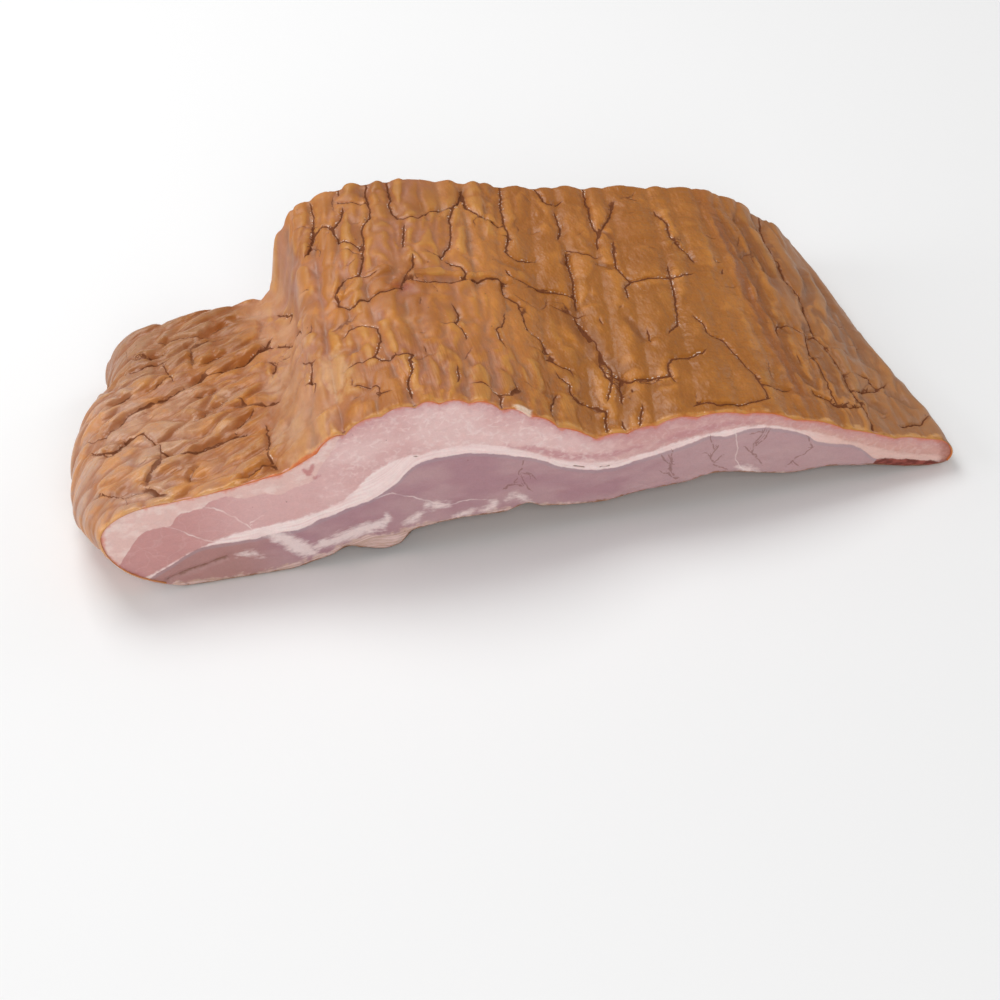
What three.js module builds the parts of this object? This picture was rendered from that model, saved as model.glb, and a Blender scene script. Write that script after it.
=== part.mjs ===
// A smoked pork belly slab, rind side up: one solid piece of meat.
// A knife has cut its long near side straight and flat. The left end is a thin round nose
// that the rind wraps, the middle humps up, and the right end tapers to a thin edge.
// Millimetres: +X runs along the cut, +Y away from it, +Z up. The slab rests on z = 0,
// and the origin lies under the middle of its length and depth.

import * as THREE from "three";

// ---- Driving dimensions ----
const DEPTH = 168; // from the flat cut to the far edge, at the deepest place
const NOSE_ROUND_FRONT = 22; // how far in the rind curls down at the left end, at the cut
const NOSE_ROUND_BACK = 18; // and deeper in
const NOSE_UNDERCUT_FRONT = 40; // how far in the underside curls up at the left end, at the cut
const NOSE_UNDERCUT_BACK = 14; // and deeper in
const NOSE_RUN = 55; // depth over which the nose changes from one to the other
const RIGHT_ROUND = 6; // rounding of the thin right edge
const BACK_ROUND = 9; // how far the far side bulges between its top and bottom edges
const ARCH_REACH = 60; // depth at which the arch under the cut has come down to the board
const FLANK_X = -76; // steep left flank of the hump
const FLANK_SWAY = 4; // how far the flank wanders left and right over the depth
const FLANK_WIDTH = 18; // and how wide the stretch is that wanders with it
const PLATE_ROWS = 5; // cross wrinkles that break each strip of rind into plates
const PLATE_GROOVE = 0.9; // their depth
const GROOVE_REACH = 4.5; // half width of a fold or a cross wrinkle

// Height of the rind along the cut: [x, height].
const CUT_TOP = [
  [-165, 39], [-107, 42.5], [-86, 47.5], [-67, 59], [-40, 66.5], [-17, 63.5],
  [4, 54], [30, 40], [60, 42.7], [85, 40], [113, 30.3], [143, 18.7], [166, 11.5],
];
// Height of the rind along the far edge: [x, height].
const FAR_TOP = [
  [-165, 20], [-150, 25], [-105, 29], [-83, 28.5], [-76, 34], [-72, 56], [-61, 67], [-32, 70.8],
  [0, 66.8], [33, 59], [90, 49], [112, 44.5], [140, 26], [152, 15], [166, 12],
];
// Height of the underside along the cut, where the slab arches up: [x, height].
const CUT_FOOT = [
  [-165, 0], [-92, 0], [-70, 5], [-38, 10], [0, 11], [30, 8],
  [68, 12], [85, 11], [105, 7], [130, 5], [158, 0], [166, 0],
];
// Plan outline: the left end and the right end as [depth, x], the far edge as [x, depth].
const LEFT_END = [[0, -157], [22, -163], [46, -166], [88, -165.5], [108, -160.5], [122, -152], [136, -148], [DEPTH, -148.5]];
const RIGHT_END = [[0, 166], [22, 165.5], [48, 162], [78, 158], [113, 156.5], [150, 153], [DEPTH, 146]];
const FAR_EDGE = [[-166, 141], [-104, 152], [-68, 160], [-50, 166], [0, DEPTH], [110, DEPTH], [135, 165], [166, 150]];
// Long furrows that run from the cut to the far edge: [x at the cut, halfway, at the far edge, depth].
const FURROWS = [
  [-91, -86, -80, 1], [-77, -73, -68, 1.8], [-66, -62, -56, 2.2], [-52, -52, -43, 1.8],
  [-39, -44, -31, 2.1], [-30, -30, -22, 1.8], [-19, -9, -2, 1.4], [-7, 0, 9, 2.2],
  [3, 11, 24, 1.8], [14, 24, 38, 1.7], [27, 38, 47, 1.8], [38, 50, 60, 1.7],
  [49, 61, 68, 1.6], [65, 78, 87, 1.5], [83, 90, 96, 1.1], [103, 104, 107, 1.4],
  [122, 118, 119, 1.4], [143, 133, 133, 1.8],
];
// Folds across the left wing: [depth at the left end, depth at the foot of the hump, groove depth].
const WING_FOLDS = [[20, 8, 0.8], [52, 36, 1.2], [70, 100, 1.7], [96, 112, 0.9], [111, 123, 1.3]];
const WING_INNER_X = -84; // foot of the hump, where the wing's folds end
const WING_OUTER_X = -150;

// ---- Mesh fineness ----
const NOSE_STEPS = 6; // columns round the nose
const WING_STEPS = 8; // columns over the wing
const STRIP_STEPS = 3; // columns between two furrows
const EDGE_STEPS = 3; // columns round the right edge
const ROW_STEPS = 28; // rows from the cut to the far rim
const RIM_STEPS = 5; // rows round the far rim

const clamp01 = (t) => Math.min(1, Math.max(0, t));
const mix = (a, b, t) => a + (b - a) * t;
const ease = (t) => clamp01(t) * clamp01(t) * (3 - 2 * clamp01(t));
const quarterRound = (distance, radius) => Math.sqrt(1 - clamp01(1 - distance / radius) ** 2);

// A smooth curve through stations that never overshoots them.
function curve(stations, x) {
  const at = THREE.MathUtils.clamp(x, stations[0][0], stations.at(-1)[0]);
  const slopes = stations.slice(1).map(([sx, sz], i) => (sz - stations[i][1]) / (sx - stations[i][0]));
  const tangent = (i) => {
    if (i === 0) return slopes[0];
    if (i === slopes.length) return slopes.at(-1);
    const [before, after] = [slopes[i - 1], slopes[i]];
    if (before * after <= 0) return 0;
    return Math.sign(before) * Math.min(Math.abs(before + after) / 2, 2.5 * Math.abs(before), 2.5 * Math.abs(after));
  };
  const k = Math.min(slopes.length, stations.filter(([sx]) => sx <= at).length) - 1;
  const [[x0, z0], [x1, z1]] = [stations[k], stations[k + 1]];
  const [run, t] = [x1 - x0, (at - x0) / (x1 - x0)];
  return (
    (2 * t ** 3 - 3 * t ** 2 + 1) * z0 + (t ** 3 - 2 * t ** 2 + t) * run * tangent(k) +
    (3 * t ** 2 - 2 * t ** 3) * z1 + (t ** 3 - t ** 2) * run * tangent(k + 1)
  );
}

// Where a furrow lies at a share of the depth: a gentle bend through its three places.
function furrowX([near, middle, far], share) {
  const bend = 4 * (middle - (near + far) / 2);
  return mix(near, far, share) + bend * share * (1 - share);
}

// How far the rind is sunk at a place by the long furrows and by the wrinkles across their strips.
function stripRelief(x, share) {
  const lines = FURROWS.map((furrow) => furrowX(furrow, share));
  const k = lines.findLastIndex((line) => line <= x);
  if (k < 0 || k === lines.length - 1) {
    const edge = k < 0 ? 0 : k;
    return FURROWS[edge][3] * (1 - quarterRound(Math.abs(x - lines[edge]), 2 * GROOVE_REACH));
  }
  const across = (x - lines[k]) / (lines[k + 1] - lines[k]);
  const crown = Math.sqrt(Math.sin(Math.PI * clamp01(across)));
  const furrowDepth = mix(FURROWS[k][3], FURROWS[k + 1][3], across);
  const plate = share * PLATE_ROWS + 0.37 * k + 0.12 * Math.sin(5 * share + 2 * k);
  const toWrinkle = (Math.abs(plate - Math.round(plate)) * DEPTH) / PLATE_ROWS;
  const wrinkle = PLATE_GROOVE * crown * (1 - ease(toWrinkle / GROOVE_REACH));
  return furrowDepth * (1 - crown) + wrinkle;
}

// How far the folds across the left wing sink the rind.
function wingRelief(x, depth) {
  const along = (x - WING_OUTER_X) / (WING_INNER_X - WING_OUTER_X);
  let sunk = 0;
  for (const [outer, inner, groove] of WING_FOLDS) {
    const line = mix(outer, inner, along) + 2 * Math.sin(4 * along + outer);
    sunk = Math.max(sunk, groove * (1 - ease(Math.abs(depth - line) / GROOVE_REACH)));
  }
  return sunk * (1 - ease((x - WING_INNER_X + 12) / 16));
}

// The place in plan, and the heights of the rind and of the underside there.
function slabAt(leftGap, x, share) {
  const depth = share * curve(FAR_EDGE, x);
  const toRight = curve(RIGHT_END, share * DEPTH) - x;
  const toBack = curve(FAR_EDGE, x) - depth;
  const nearCut = 1 - ease(depth / NOSE_RUN);
  const sway = FLANK_SWAY * Math.sin(2 * Math.PI * share) * Math.exp(-(((x - FLANK_X) / FLANK_WIDTH) ** 2));
  const rind = mix(curve(CUT_TOP, x + sway), curve(FAR_TOP, x + sway), share);
  const foot = curve(CUT_FOOT, x) * (1 - ease(depth / ARCH_REACH));

  // The seam where rind and underside meet round the edge lies at a share of the thickness.
  const nearLeft = 1 / (1 + (leftGap / 14) ** 2);
  const nearRight = 1 / (1 + (toRight / 10) ** 2);
  const nearBack = 1 / (1 + (toBack / 14) ** 2);
  const seamShare =
    (mix(0.36, 0.7, nearCut) * nearLeft + 0.45 * nearRight + 0.16 * nearBack) / (nearLeft + nearRight + nearBack);
  const seam = mix(foot, rind, seamShare);

  const fullTop =
    quarterRound(leftGap, mix(NOSE_ROUND_BACK, NOSE_ROUND_FRONT, nearCut)) *
    quarterRound(toRight, RIGHT_ROUND) * quarterRound(toBack, BACK_ROUND);
  const fullFoot =
    quarterRound(leftGap, mix(NOSE_UNDERCUT_BACK, NOSE_UNDERCUT_FRONT, nearCut)) *
    quarterRound(toRight, RIGHT_ROUND) * quarterRound(toBack, BACK_ROUND);
  const sunk = (stripRelief(x, share) + wingRelief(x, depth)) * fullTop;
  return {
    y: depth - DEPTH / 2,
    top: seam + (rind - seam) * fullTop - sunk,
    bottom: seam - (seam - foot) * fullFoot,
  };
}

// The columns' places along X at a share of the depth: close together round the nose and the
// right edge, and three to each strip between furrows.
function columnsAt(share) {
  const left = curve(LEFT_END, share * DEPTH);
  const right = curve(RIGHT_END, share * DEPTH);
  const lines = FURROWS.map((furrow) => furrowX(furrow, share));
  const columns = [];
  for (let i = 0; i < NOSE_STEPS; i++) {
    columns.push(left + NOSE_ROUND_FRONT * (1 - Math.cos((Math.PI / 2) * (i / NOSE_STEPS))));
  }
  for (let i = 0; i < WING_STEPS; i++) columns.push(mix(left + NOSE_ROUND_FRONT, lines[0], i / WING_STEPS));
  for (let k = 0; k < lines.length - 1; k++) {
    for (let i = 0; i < STRIP_STEPS; i++) columns.push(mix(lines[k], lines[k + 1], i / STRIP_STEPS));
  }
  for (let i = 0; i < STRIP_STEPS; i++) columns.push(mix(lines.at(-1), right - RIGHT_ROUND, i / STRIP_STEPS));
  for (let i = 0; i <= EDGE_STEPS; i++) {
    columns.push(right - RIGHT_ROUND * (1 - Math.sin((Math.PI / 2) * (i / EDGE_STEPS))));
  }
  return columns;
}

// The rows' places as shares of the depth, close together round the far rim.
function rowShares() {
  const rimStart = 1 - BACK_ROUND / DEPTH;
  const shares = [];
  for (let j = 0; j < ROW_STEPS; j++) shares.push((rimStart * j) / ROW_STEPS);
  for (let j = 0; j <= RIM_STEPS; j++) shares.push(mix(rimStart, 1, Math.sin((Math.PI / 2) * (j / RIM_STEPS))));
  return shares;
}

// The closed skin: a rind grid and an underside grid that share the nose, the right edge and
// the far rim, joined at the front by the flat cut face.
function slabGeometry() {
  const positions = [];
  const addPoint = (x, y, z) => positions.push(x, y, z) / 3 - 1;
  const shares = rowShares();
  const top = [];
  const bottom = [];
  for (const share of shares) {
    const columns = columnsAt(share);
    const rim = share === 1;
    const topRow = [];
    const bottomRow = [];
    columns.forEach((x, i) => {
      const place = slabAt(x - columns[0], x, share);
      const shared = rim || i === 0 || i === columns.length - 1;
      topRow.push(addPoint(x, place.y, place.top));
      bottomRow.push(shared ? topRow[i] : addPoint(x, place.y, place.bottom));
    });
    top.push(topRow);
    bottom.push(bottomRow);
  }

  const faces = [];
  const addFace = (a, b, c) => {
    if (a !== b && b !== c && c !== a) faces.push(a, b, c);
  };
  // A quad is split so that at a corner of the rim both triangles reach the inner point.
  const addQuad = (a, b, c, d, leftHalf) => {
    if (leftHalf) {
      addFace(a, b, d);
      addFace(b, c, d);
    } else {
      addFace(a, b, c);
      addFace(a, c, d);
    }
  };
  const lastColumn = top[0].length - 1;
  for (let j = 0; j < shares.length - 1; j++) {
    for (let i = 0; i < lastColumn; i++) {
      const leftHalf = i < lastColumn / 2;
      addQuad(top[j][i], top[j][i + 1], top[j + 1][i + 1], top[j + 1][i], leftHalf);
      addQuad(bottom[j][i + 1], bottom[j][i], bottom[j + 1][i], bottom[j + 1][i + 1], !leftHalf);
    }
  }
  for (let i = 0; i < lastColumn; i++) addQuad(bottom[0][i], bottom[0][i + 1], top[0][i + 1], top[0][i], true);

  const geometry = new THREE.BufferGeometry();
  geometry.setAttribute("position", new THREE.Float32BufferAttribute(positions, 3));
  geometry.setIndex(faces);
  geometry.computeVertexNormals();
  return geometry;
}

const smokedRind = new THREE.MeshStandardMaterial({ color: 0xb87942, roughness: 0.5, metalness: 0 });
const slab = new THREE.Mesh(slabGeometry(), smokedRind);
slab.name = "pork_belly_slab";

const group = new THREE.Group();
group.add(slab);

export default group;
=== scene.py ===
"""A slab of smoked pork belly: cured meat, cut flat along its near side, under a cracked smoked rind."""

import bpy
import numpy as np
from mathutils import Matrix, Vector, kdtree, noise


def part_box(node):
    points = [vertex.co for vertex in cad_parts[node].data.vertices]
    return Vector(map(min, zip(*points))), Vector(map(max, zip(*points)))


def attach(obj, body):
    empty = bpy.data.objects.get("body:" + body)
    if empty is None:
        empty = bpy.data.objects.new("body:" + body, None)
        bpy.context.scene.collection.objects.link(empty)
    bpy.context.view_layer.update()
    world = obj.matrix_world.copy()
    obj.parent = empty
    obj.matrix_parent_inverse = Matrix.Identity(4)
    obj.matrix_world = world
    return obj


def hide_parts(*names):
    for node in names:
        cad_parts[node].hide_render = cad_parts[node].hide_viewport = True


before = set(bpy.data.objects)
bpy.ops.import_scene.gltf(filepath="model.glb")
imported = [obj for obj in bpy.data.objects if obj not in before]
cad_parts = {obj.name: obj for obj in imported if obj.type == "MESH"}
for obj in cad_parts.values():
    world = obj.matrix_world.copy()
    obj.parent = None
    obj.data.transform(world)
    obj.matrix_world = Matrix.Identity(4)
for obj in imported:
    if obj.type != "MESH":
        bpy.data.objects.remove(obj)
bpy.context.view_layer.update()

# ---- Cured meat ----
# The slab itself: fat and lean lie in layers through it, and a knife has cut its near side flat.
# The meat is salted and then smoked under its rind, so its cut faces stay moist and pale.
# Its left end is a round nose, its middle humps up and its right end tapers to a thin edge.

SLAB = "pork_belly_slab"
MM = 0.001
slab_low, slab_high = (np.array(corner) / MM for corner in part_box(SLAB))
DEPTH = slab_high[1] - slab_low[1]
CUT_Y = slab_low[1]

NOSE_ROUND_FRONT, NOSE_ROUND_BACK = 22, 18
NOSE_UNDERCUT_FRONT, NOSE_UNDERCUT_BACK = 40, 14
NOSE_RUN = 55
RIGHT_ROUND = 6
BACK_ROUND = 9
ARCH_REACH = 60
FLANK_X, FLANK_SWAY, FLANK_WIDTH = -76, 4, 18
SEAM_NOSE_FRONT, SEAM_NOSE_BACK, SEAM_RIGHT, SEAM_FAR = 0.7, 0.36, 0.45, 0.16

# Height of the rind along the cut and along the far edge, and of the underside along the cut.
CUT_TOP = [
    (-165, 39), (-107, 42.5), (-86, 47.5), (-67, 59), (-40, 66.5), (-17, 63.5),
    (4, 54), (30, 40), (60, 42.7), (85, 40), (113, 30.3), (143, 18.7), (166, 11.5),
]
FAR_TOP = [
    (-165, 20), (-150, 25), (-105, 29), (-83, 28.5), (-76, 34), (-72, 56), (-61, 67), (-32, 70.8),
    (0, 66.8), (33, 59), (90, 49), (112, 44.5), (140, 26), (152, 15), (166, 12),
]
CUT_FOOT = [
    (-165, 0), (-92, 0), (-70, 5), (-38, 10), (0, 11), (30, 8),
    (68, 12), (85, 11), (105, 7), (130, 5), (158, 0), (166, 0),
]
# Plan outline: the ends as (depth, x), the far edge as (x, depth).
LEFT_END = [
    (0, -157), (22, -163), (46, -166), (88, -165.5), (108, -160.5), (122, -152), (136, -148), (168, -148.5),
]
RIGHT_END = [(0, 166), (22, 165.5), (48, 162), (78, 158), (113, 156.5), (150, 153), (168, 146)]
FAR_EDGE = [(-166, 141), (-104, 152), (-68, 160), (-50, 166), (0, 168), (110, 168), (135, 165), (166, 150)]
# Long furrows that draw the rind in from the cut to the far edge: (x at the cut, halfway, far, depth).
FURROWS = [
    (-91, -86, -80, 1), (-77, -73, -68, 1.8), (-66, -62, -56, 2.2), (-52, -52, -43, 1.8),
    (-39, -44, -31, 2.1), (-30, -30, -22, 1.8), (-19, -9, -2, 1.4), (-7, 0, 9, 2.2), (3, 11, 24, 1.8),
    (14, 24, 38, 1.7), (27, 38, 47, 1.8), (38, 50, 60, 1.7), (49, 61, 68, 1.6), (65, 78, 87, 1.5),
    (83, 90, 96, 1.1), (103, 104, 107, 1.4), (122, 118, 119, 1.4), (143, 133, 133, 1.8),
]
PLATE_ROWS, PLATE_GROOVE, GROOVE_REACH = 5, 0.9, 4.5
# Folds across the left wing: (depth at the left end, depth at the foot of the hump, groove depth).
WING_FOLDS = [(20, 8, 0.8), (52, 36, 1.2), (70, 100, 1.7), (96, 112, 0.9), (111, 123, 1.3)]
WING_INNER_X, WING_OUTER_X = -84, -150


def mix(a, b, t):
    return a + (b - a) * t


def ease(t):
    t = np.clip(t, 0, 1)
    return t * t * (3 - 2 * t)


def rising(x, start, end):
    """0 up to start, 1 from end on, smooth between."""
    return ease((x - start) / (end - start))


def quarter_round(distance, radius):
    return np.sqrt(1 - np.clip(1 - distance / radius, 0, 1) ** 2)


def curve(stations, x):
    """A smooth line through (place, value) stations that never overshoots them."""
    places, values = np.array(stations, float).T
    slopes = np.diff(values) / np.diff(places)
    before, after = slopes[:-1], slopes[1:]
    steepest = 2.5 * np.minimum(abs(before), abs(after))
    bends = np.sign(before) * np.minimum(abs(before + after) / 2, steepest)
    tangents = np.concatenate([slopes[:1], np.where(before * after <= 0, 0, bends), slopes[-1:]])
    x = np.clip(x, places[0], places[-1])
    k = np.clip(np.searchsorted(places, x, side="right") - 1, 0, len(slopes) - 1)
    run = places[k + 1] - places[k]
    t = (x - places[k]) / run
    start = (2 * t**3 - 3 * t**2 + 1) * values[k] + (t**3 - 2 * t**2 + t) * run * tangents[k]
    return start + (3 * t**2 - 2 * t**3) * values[k + 1] + (t**3 - t**2) * run * tangents[k + 1]


def clouds(x, y, z, octaves=3):
    """Soft random values between about -1 and 1, for places measured in the size of a cloud."""
    x, y, z = np.broadcast_arrays(x, y, z)
    places = np.stack([x.ravel(), y.ravel(), z.ravel()], 1).tolist()
    values = [noise.fractal(place, 0.7, 2.0, octaves) for place in places]
    return np.array(values).reshape(x.shape)


def slab_heights(x, share):
    """Heights of the rind and of the underside, before the edges are rounded."""
    sway = FLANK_SWAY * np.sin(2 * np.pi * share) * np.exp(-(((x - FLANK_X) / FLANK_WIDTH) ** 2))
    rind = mix(curve(CUT_TOP, x + sway), curve(FAR_TOP, x + sway), share)
    depth = share * curve(FAR_EDGE, x)
    foot = curve(CUT_FOOT, x) * (1 - ease(depth / ARCH_REACH))
    return rind, foot


def long_relief(x, share):
    """How far the long furrows, the wrinkles across them and the wing's folds draw the surface in."""
    near, middle, far, furrow_depths = np.array(FURROWS).T
    share_of_line = share[..., None]
    lines = mix(near, far, share_of_line)
    lines = lines + 4 * (middle - (near + far) / 2) * share_of_line * (1 - share_of_line)
    k = (lines <= x[..., None]).sum(-1) - 1
    last = len(FURROWS) - 1
    strip = np.clip(k, 0, last - 1)
    line_low = np.take_along_axis(lines, strip[..., None], -1)[..., 0]
    line_high = np.take_along_axis(lines, strip[..., None] + 1, -1)[..., 0]
    across = np.clip((x - line_low) / (line_high - line_low), 0, 1)
    crown = np.clip(np.sin(np.pi * across), 0, 1) ** 0.75
    plate = share * PLATE_ROWS + 0.37 * strip + 0.12 * np.sin(5 * share + 2 * strip)
    to_wrinkle = abs(plate - np.round(plate)) * DEPTH / PLATE_ROWS
    wrinkle = PLATE_GROOVE * crown * (1 - ease(to_wrinkle / GROOVE_REACH))
    strips = mix(furrow_depths[strip], furrow_depths[strip + 1], across) * (1 - crown) + wrinkle
    edge = np.where(k < 0, 0, last)
    edge_line = np.take_along_axis(lines, edge[..., None], -1)[..., 0]
    beyond = furrow_depths[edge] * (1 - quarter_round(abs(x - edge_line), 2 * GROOVE_REACH))
    sunk = np.where((k < 0) | (k == last), beyond, strips)

    depth = share * curve(FAR_EDGE, x)
    along = (x - WING_OUTER_X) / (WING_INNER_X - WING_OUTER_X)
    folds = np.zeros_like(x)
    for outer, inner, groove in WING_FOLDS:
        line = mix(outer, inner, along) + 2 * np.sin(4 * along + outer)
        folds = np.maximum(folds, groove * (1 - ease(abs(depth - line) / GROOVE_REACH)))
    return sunk + folds * (1 - rising(x, WING_INNER_X - 12, WING_INNER_X + 4))


def nose_shape(depth):
    """Share of the height at which the nose is widest, and how far it rounds in above and below that."""
    near_cut = 1 - ease(depth / NOSE_RUN)
    widest = mix(SEAM_NOSE_BACK, SEAM_NOSE_FRONT, near_cut)
    above = mix(NOSE_ROUND_BACK, NOSE_ROUND_FRONT, near_cut)
    below = mix(NOSE_UNDERCUT_BACK, NOSE_UNDERCUT_FRONT, near_cut)
    return widest, above, below


def rounded_inset(height, seam, top_radius, foot_radius):
    """How far a rounded edge draws in at a share of its height: nothing at the seam, most at top and foot."""
    above = np.clip((height - seam) / (1 - seam), 0, 1)
    below = np.clip((seam - height) / seam, 0, 1)
    return top_radius * (1 - np.sqrt(1 - above**2)) + foot_radius * (1 - np.sqrt(1 - below**2))


def rind_thickness(depth):
    return mix(RIND_AT_CUT, RIND_INSIDE, ease(depth / RIND_SETTLES))


# The meat fills the slab's outline up to the rind. Its cut face has shrunk back behind the rind's rim.
RIND_AT_CUT, RIND_INSIDE, RIND_SETTLES = 1.1, 3.8, 6
OVERLAP = 0.15  # how far the meat reaches into the rind, so that no gap opens between them
CUT_BACK = 0.6
MEAT_COLUMNS, MEAT_ROWS, MEAT_SLICES = 560, 68, 24
ROW_CROWDING, SLICE_CROWDING = 0.6, 0.75  # how much closer rows and slices lie at the edges

bpy.ops.object.select_all(action="DESELECT")
bpy.ops.mesh.primitive_grid_add(x_subdivisions=MEAT_COLUMNS, y_subdivisions=MEAT_ROWS, size=1)
meat = bpy.context.object
meat.name = meat.data.name = "cured_meat"
bpy.ops.object.mode_set(mode="EDIT")
for _ in range(MEAT_SLICES):
    bpy.ops.mesh.extrude_region_move(TRANSFORM_OT_translate={"value": (0, 0, 1 / MEAT_SLICES)})
bpy.ops.object.mode_set(mode="OBJECT")


def vertex_places(mesh):
    places = np.empty(len(mesh.vertices) * 3, np.float32)
    mesh.vertices.foreach_get("co", places)
    return places.reshape(-1, 3).astype(float)


def place_vertices(mesh, places_mm):
    mesh.vertices.foreach_set("co", (places_mm * MM).astype(np.float32).ravel())
    mesh.update()


def paint(mesh, name, values):
    """Gives each vertex of the mesh a value that its finish can read."""
    attribute = mesh.attributes.new(name, "FLOAT", "POINT")
    attribute.data.foreach_set("value", np.asarray(values, np.float32).ravel())


def crowd_ends(t, crowding):
    return t - crowding / (2 * np.pi) * np.sin(2 * np.pi * t)


block = vertex_places(meat.data)
along = np.clip(block[:, 0] + 0.5, 0, 1)
height = np.clip(crowd_ends(block[:, 1] + 0.5, ROW_CROWDING), 0, 1)
inward = np.clip(crowd_ends(block[:, 2], SLICE_CROWDING), 0, 1)

# Rags and notches of the membrane along the foot of the cut: (x, drop).
RAGS = [
    (-166, 0), (-82, 0), (-74, 0.6), (-69, -1), (-62, 2.2), (-52, 5.6), (-48, 5), (-44, 0.8), (-24, 0),
    (-9, 0.6), (0, -1.6), (6, 0.6), (30, 0), (40, -0.8), (60, 1), (72, -0.6), (90, 1), (100, 0.8),
    (114, -1.2), (130, 0), (166, 0),
]
RAG_REACH = 9
SKIN_STEPS = 9  # at how many places, from one thickness left to one right, the meat keeps under the rind
RIM_START, RIM_RUN = 0.93, 0.03  # share of the height at which the far face steps in under the rind


def meat_heights(x, share):
    """Heights of the meat under the rind and of its underside, and the whole slab's height there."""
    rind, foot = slab_heights(x, share)
    depth = share * curve(FAR_EDGE, x)
    skin = rind_thickness(depth) - OVERLAP
    # The rind is as thick square to the steep flank as it is elsewhere.
    offsets = np.linspace(-1, 1, SKIN_STEPS)
    under_rind = [slab_heights(x + skin * t, share)[0] - skin * np.sqrt(1 - t**2) for t in offsets]
    top = np.min(under_rind, axis=0) - long_relief(x, share)
    rags = curve(RAGS, x) * (1 - ease(depth / RAG_REACH))
    return top, np.maximum(foot - rags, 0), rind - foot, skin


# How far an edge draws in depends on the height there, so the places settle in a few rounds.
SETTLING_ROUNDS = 3
share = inward
meat_x = mix(curve(LEFT_END, share * DEPTH), curve(RIGHT_END, share * DEPTH), along)
for _ in range(SETTLING_ROUNDS):
    top_z, foot_z, whole, skin = meat_heights(meat_x, share)
    whole_share = height * (top_z - foot_z) / np.maximum(whole, 1)
    far_inset = rounded_inset(np.clip(whole_share, 0, 1), SEAM_FAR, BACK_ROUND, BACK_ROUND)
    far_inset = far_inset + RIND_INSIDE * ease((whole_share - RIM_START) / RIM_RUN)
    share = inward * (1 - far_inset / curve(FAR_EDGE, meat_x))
    widest, above, below = nose_shape(share * DEPTH)
    left_inset = rounded_inset(height, widest, above - skin, below - skin)
    right_inset = rounded_inset(height, SEAM_RIGHT, RIGHT_ROUND - skin, RIGHT_ROUND - skin)
    left_x = curve(LEFT_END, share * DEPTH) + skin + left_inset
    right_x = curve(RIGHT_END, share * DEPTH) - skin - right_inset
    meat_x = mix(left_x, right_x, along)
top_z, foot_z, _, _ = meat_heights(meat_x, share)
meat_z = mix(foot_z, top_z, height)
above_foot, below_top = height * (top_z - foot_z), (1 - height) * (top_z - foot_z)
depth = share * curve(FAR_EDGE, meat_x)

# The layers, each line given as (x, height) in the plane of the cut.
FAT_FOOT = [
    (-151, 15), (-149, 18), (-143, 25.7), (-138, 28.5), (-131, 28.9), (-128, 32.3), (-123, 34),
    (-118, 34.7), (-115, 37), (-110, 37.8), (-103, 36), (-96, 36.3), (-90, 35), (-86, 36.8), (-78, 39),
    (-75, 44), (-70, 50), (-66, 57.5), (-60, 66), (166, 80),
]
SEAM_TOP = [
    (-150, 4), (-137, 10.2), (-117, 18.6), (-103, 21.6), (-90, 22.4), (-79, 24.4), (-70, 27), (-64, 31),
    (-56, 38), (-49, 41.3), (-37, 43), (-26, 43.9), (-16, 42.8), (-5, 39.2), (4, 34.9), (12, 30.7),
    (23, 27.6), (32, 25.9), (41, 26.8), (54, 29.6), (67, 31.7), (80, 32.2), (89, 31.8), (102, 27.8),
    (116, 22), (128, 16.2), (144, 9), (166, 3),
]
SEAM_FOOT = [
    (-150, 2), (-137, 9.2), (-118, 17.3), (-103, 17.2), (-96, 17.9), (-85, 18.4), (-77, 20.9), (-65, 24.4),
    (-55, 27.4), (-48, 31.9), (-42, 37.4), (-36, 39.7), (-26, 40.2), (-17, 39.3), (-5, 35.8), (4, 32.6),
    (12, 28.1), (22, 24.4), (32, 23.1), (41, 24.6), (50, 26.2), (63, 28.8), (69, 30.6), (76, 29.4),
    (84, 30.8), (94, 29.4), (107, 24.1), (111, 20.5), (116, 18.7), (128, 14.4), (134, 8.5), (166, 1.5),
]
MEMBRANE_TOP = [
    (-166, 1), (-130, 3), (-105, 2), (-86, 3.6), (-76, 6.2), (-67, 9), (-58, 11), (-51, 10), (-40, 12),
    (-20, 12), (-6, 12.6), (2, 12.4), (20, 9.7), (40, 9.2), (60, 10.8), (72, 12.4), (90, 9.6), (105, 7.4),
    (130, 5.4), (166, 1),
]
WEDGE_TOP = [(-166, -20), (132, 4), (135, 7.6), (144, 6.2), (154, 3.6), (161, 1), (166, -4)]
LAYER_WANDER, LAYER_RISE = 11, 2.5  # how far along X and up the layers wander on their way to the far side

layer_x = meat_x + LAYER_WANDER * share * np.sin(meat_x / 41 + 1)
front_top, front_foot, _, _ = meat_heights(layer_x, np.zeros_like(layer_x))
layer_z = mix(front_foot, front_top, height) + LAYER_RISE * share * np.sin(meat_x / 27 + 3 * share)

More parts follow.
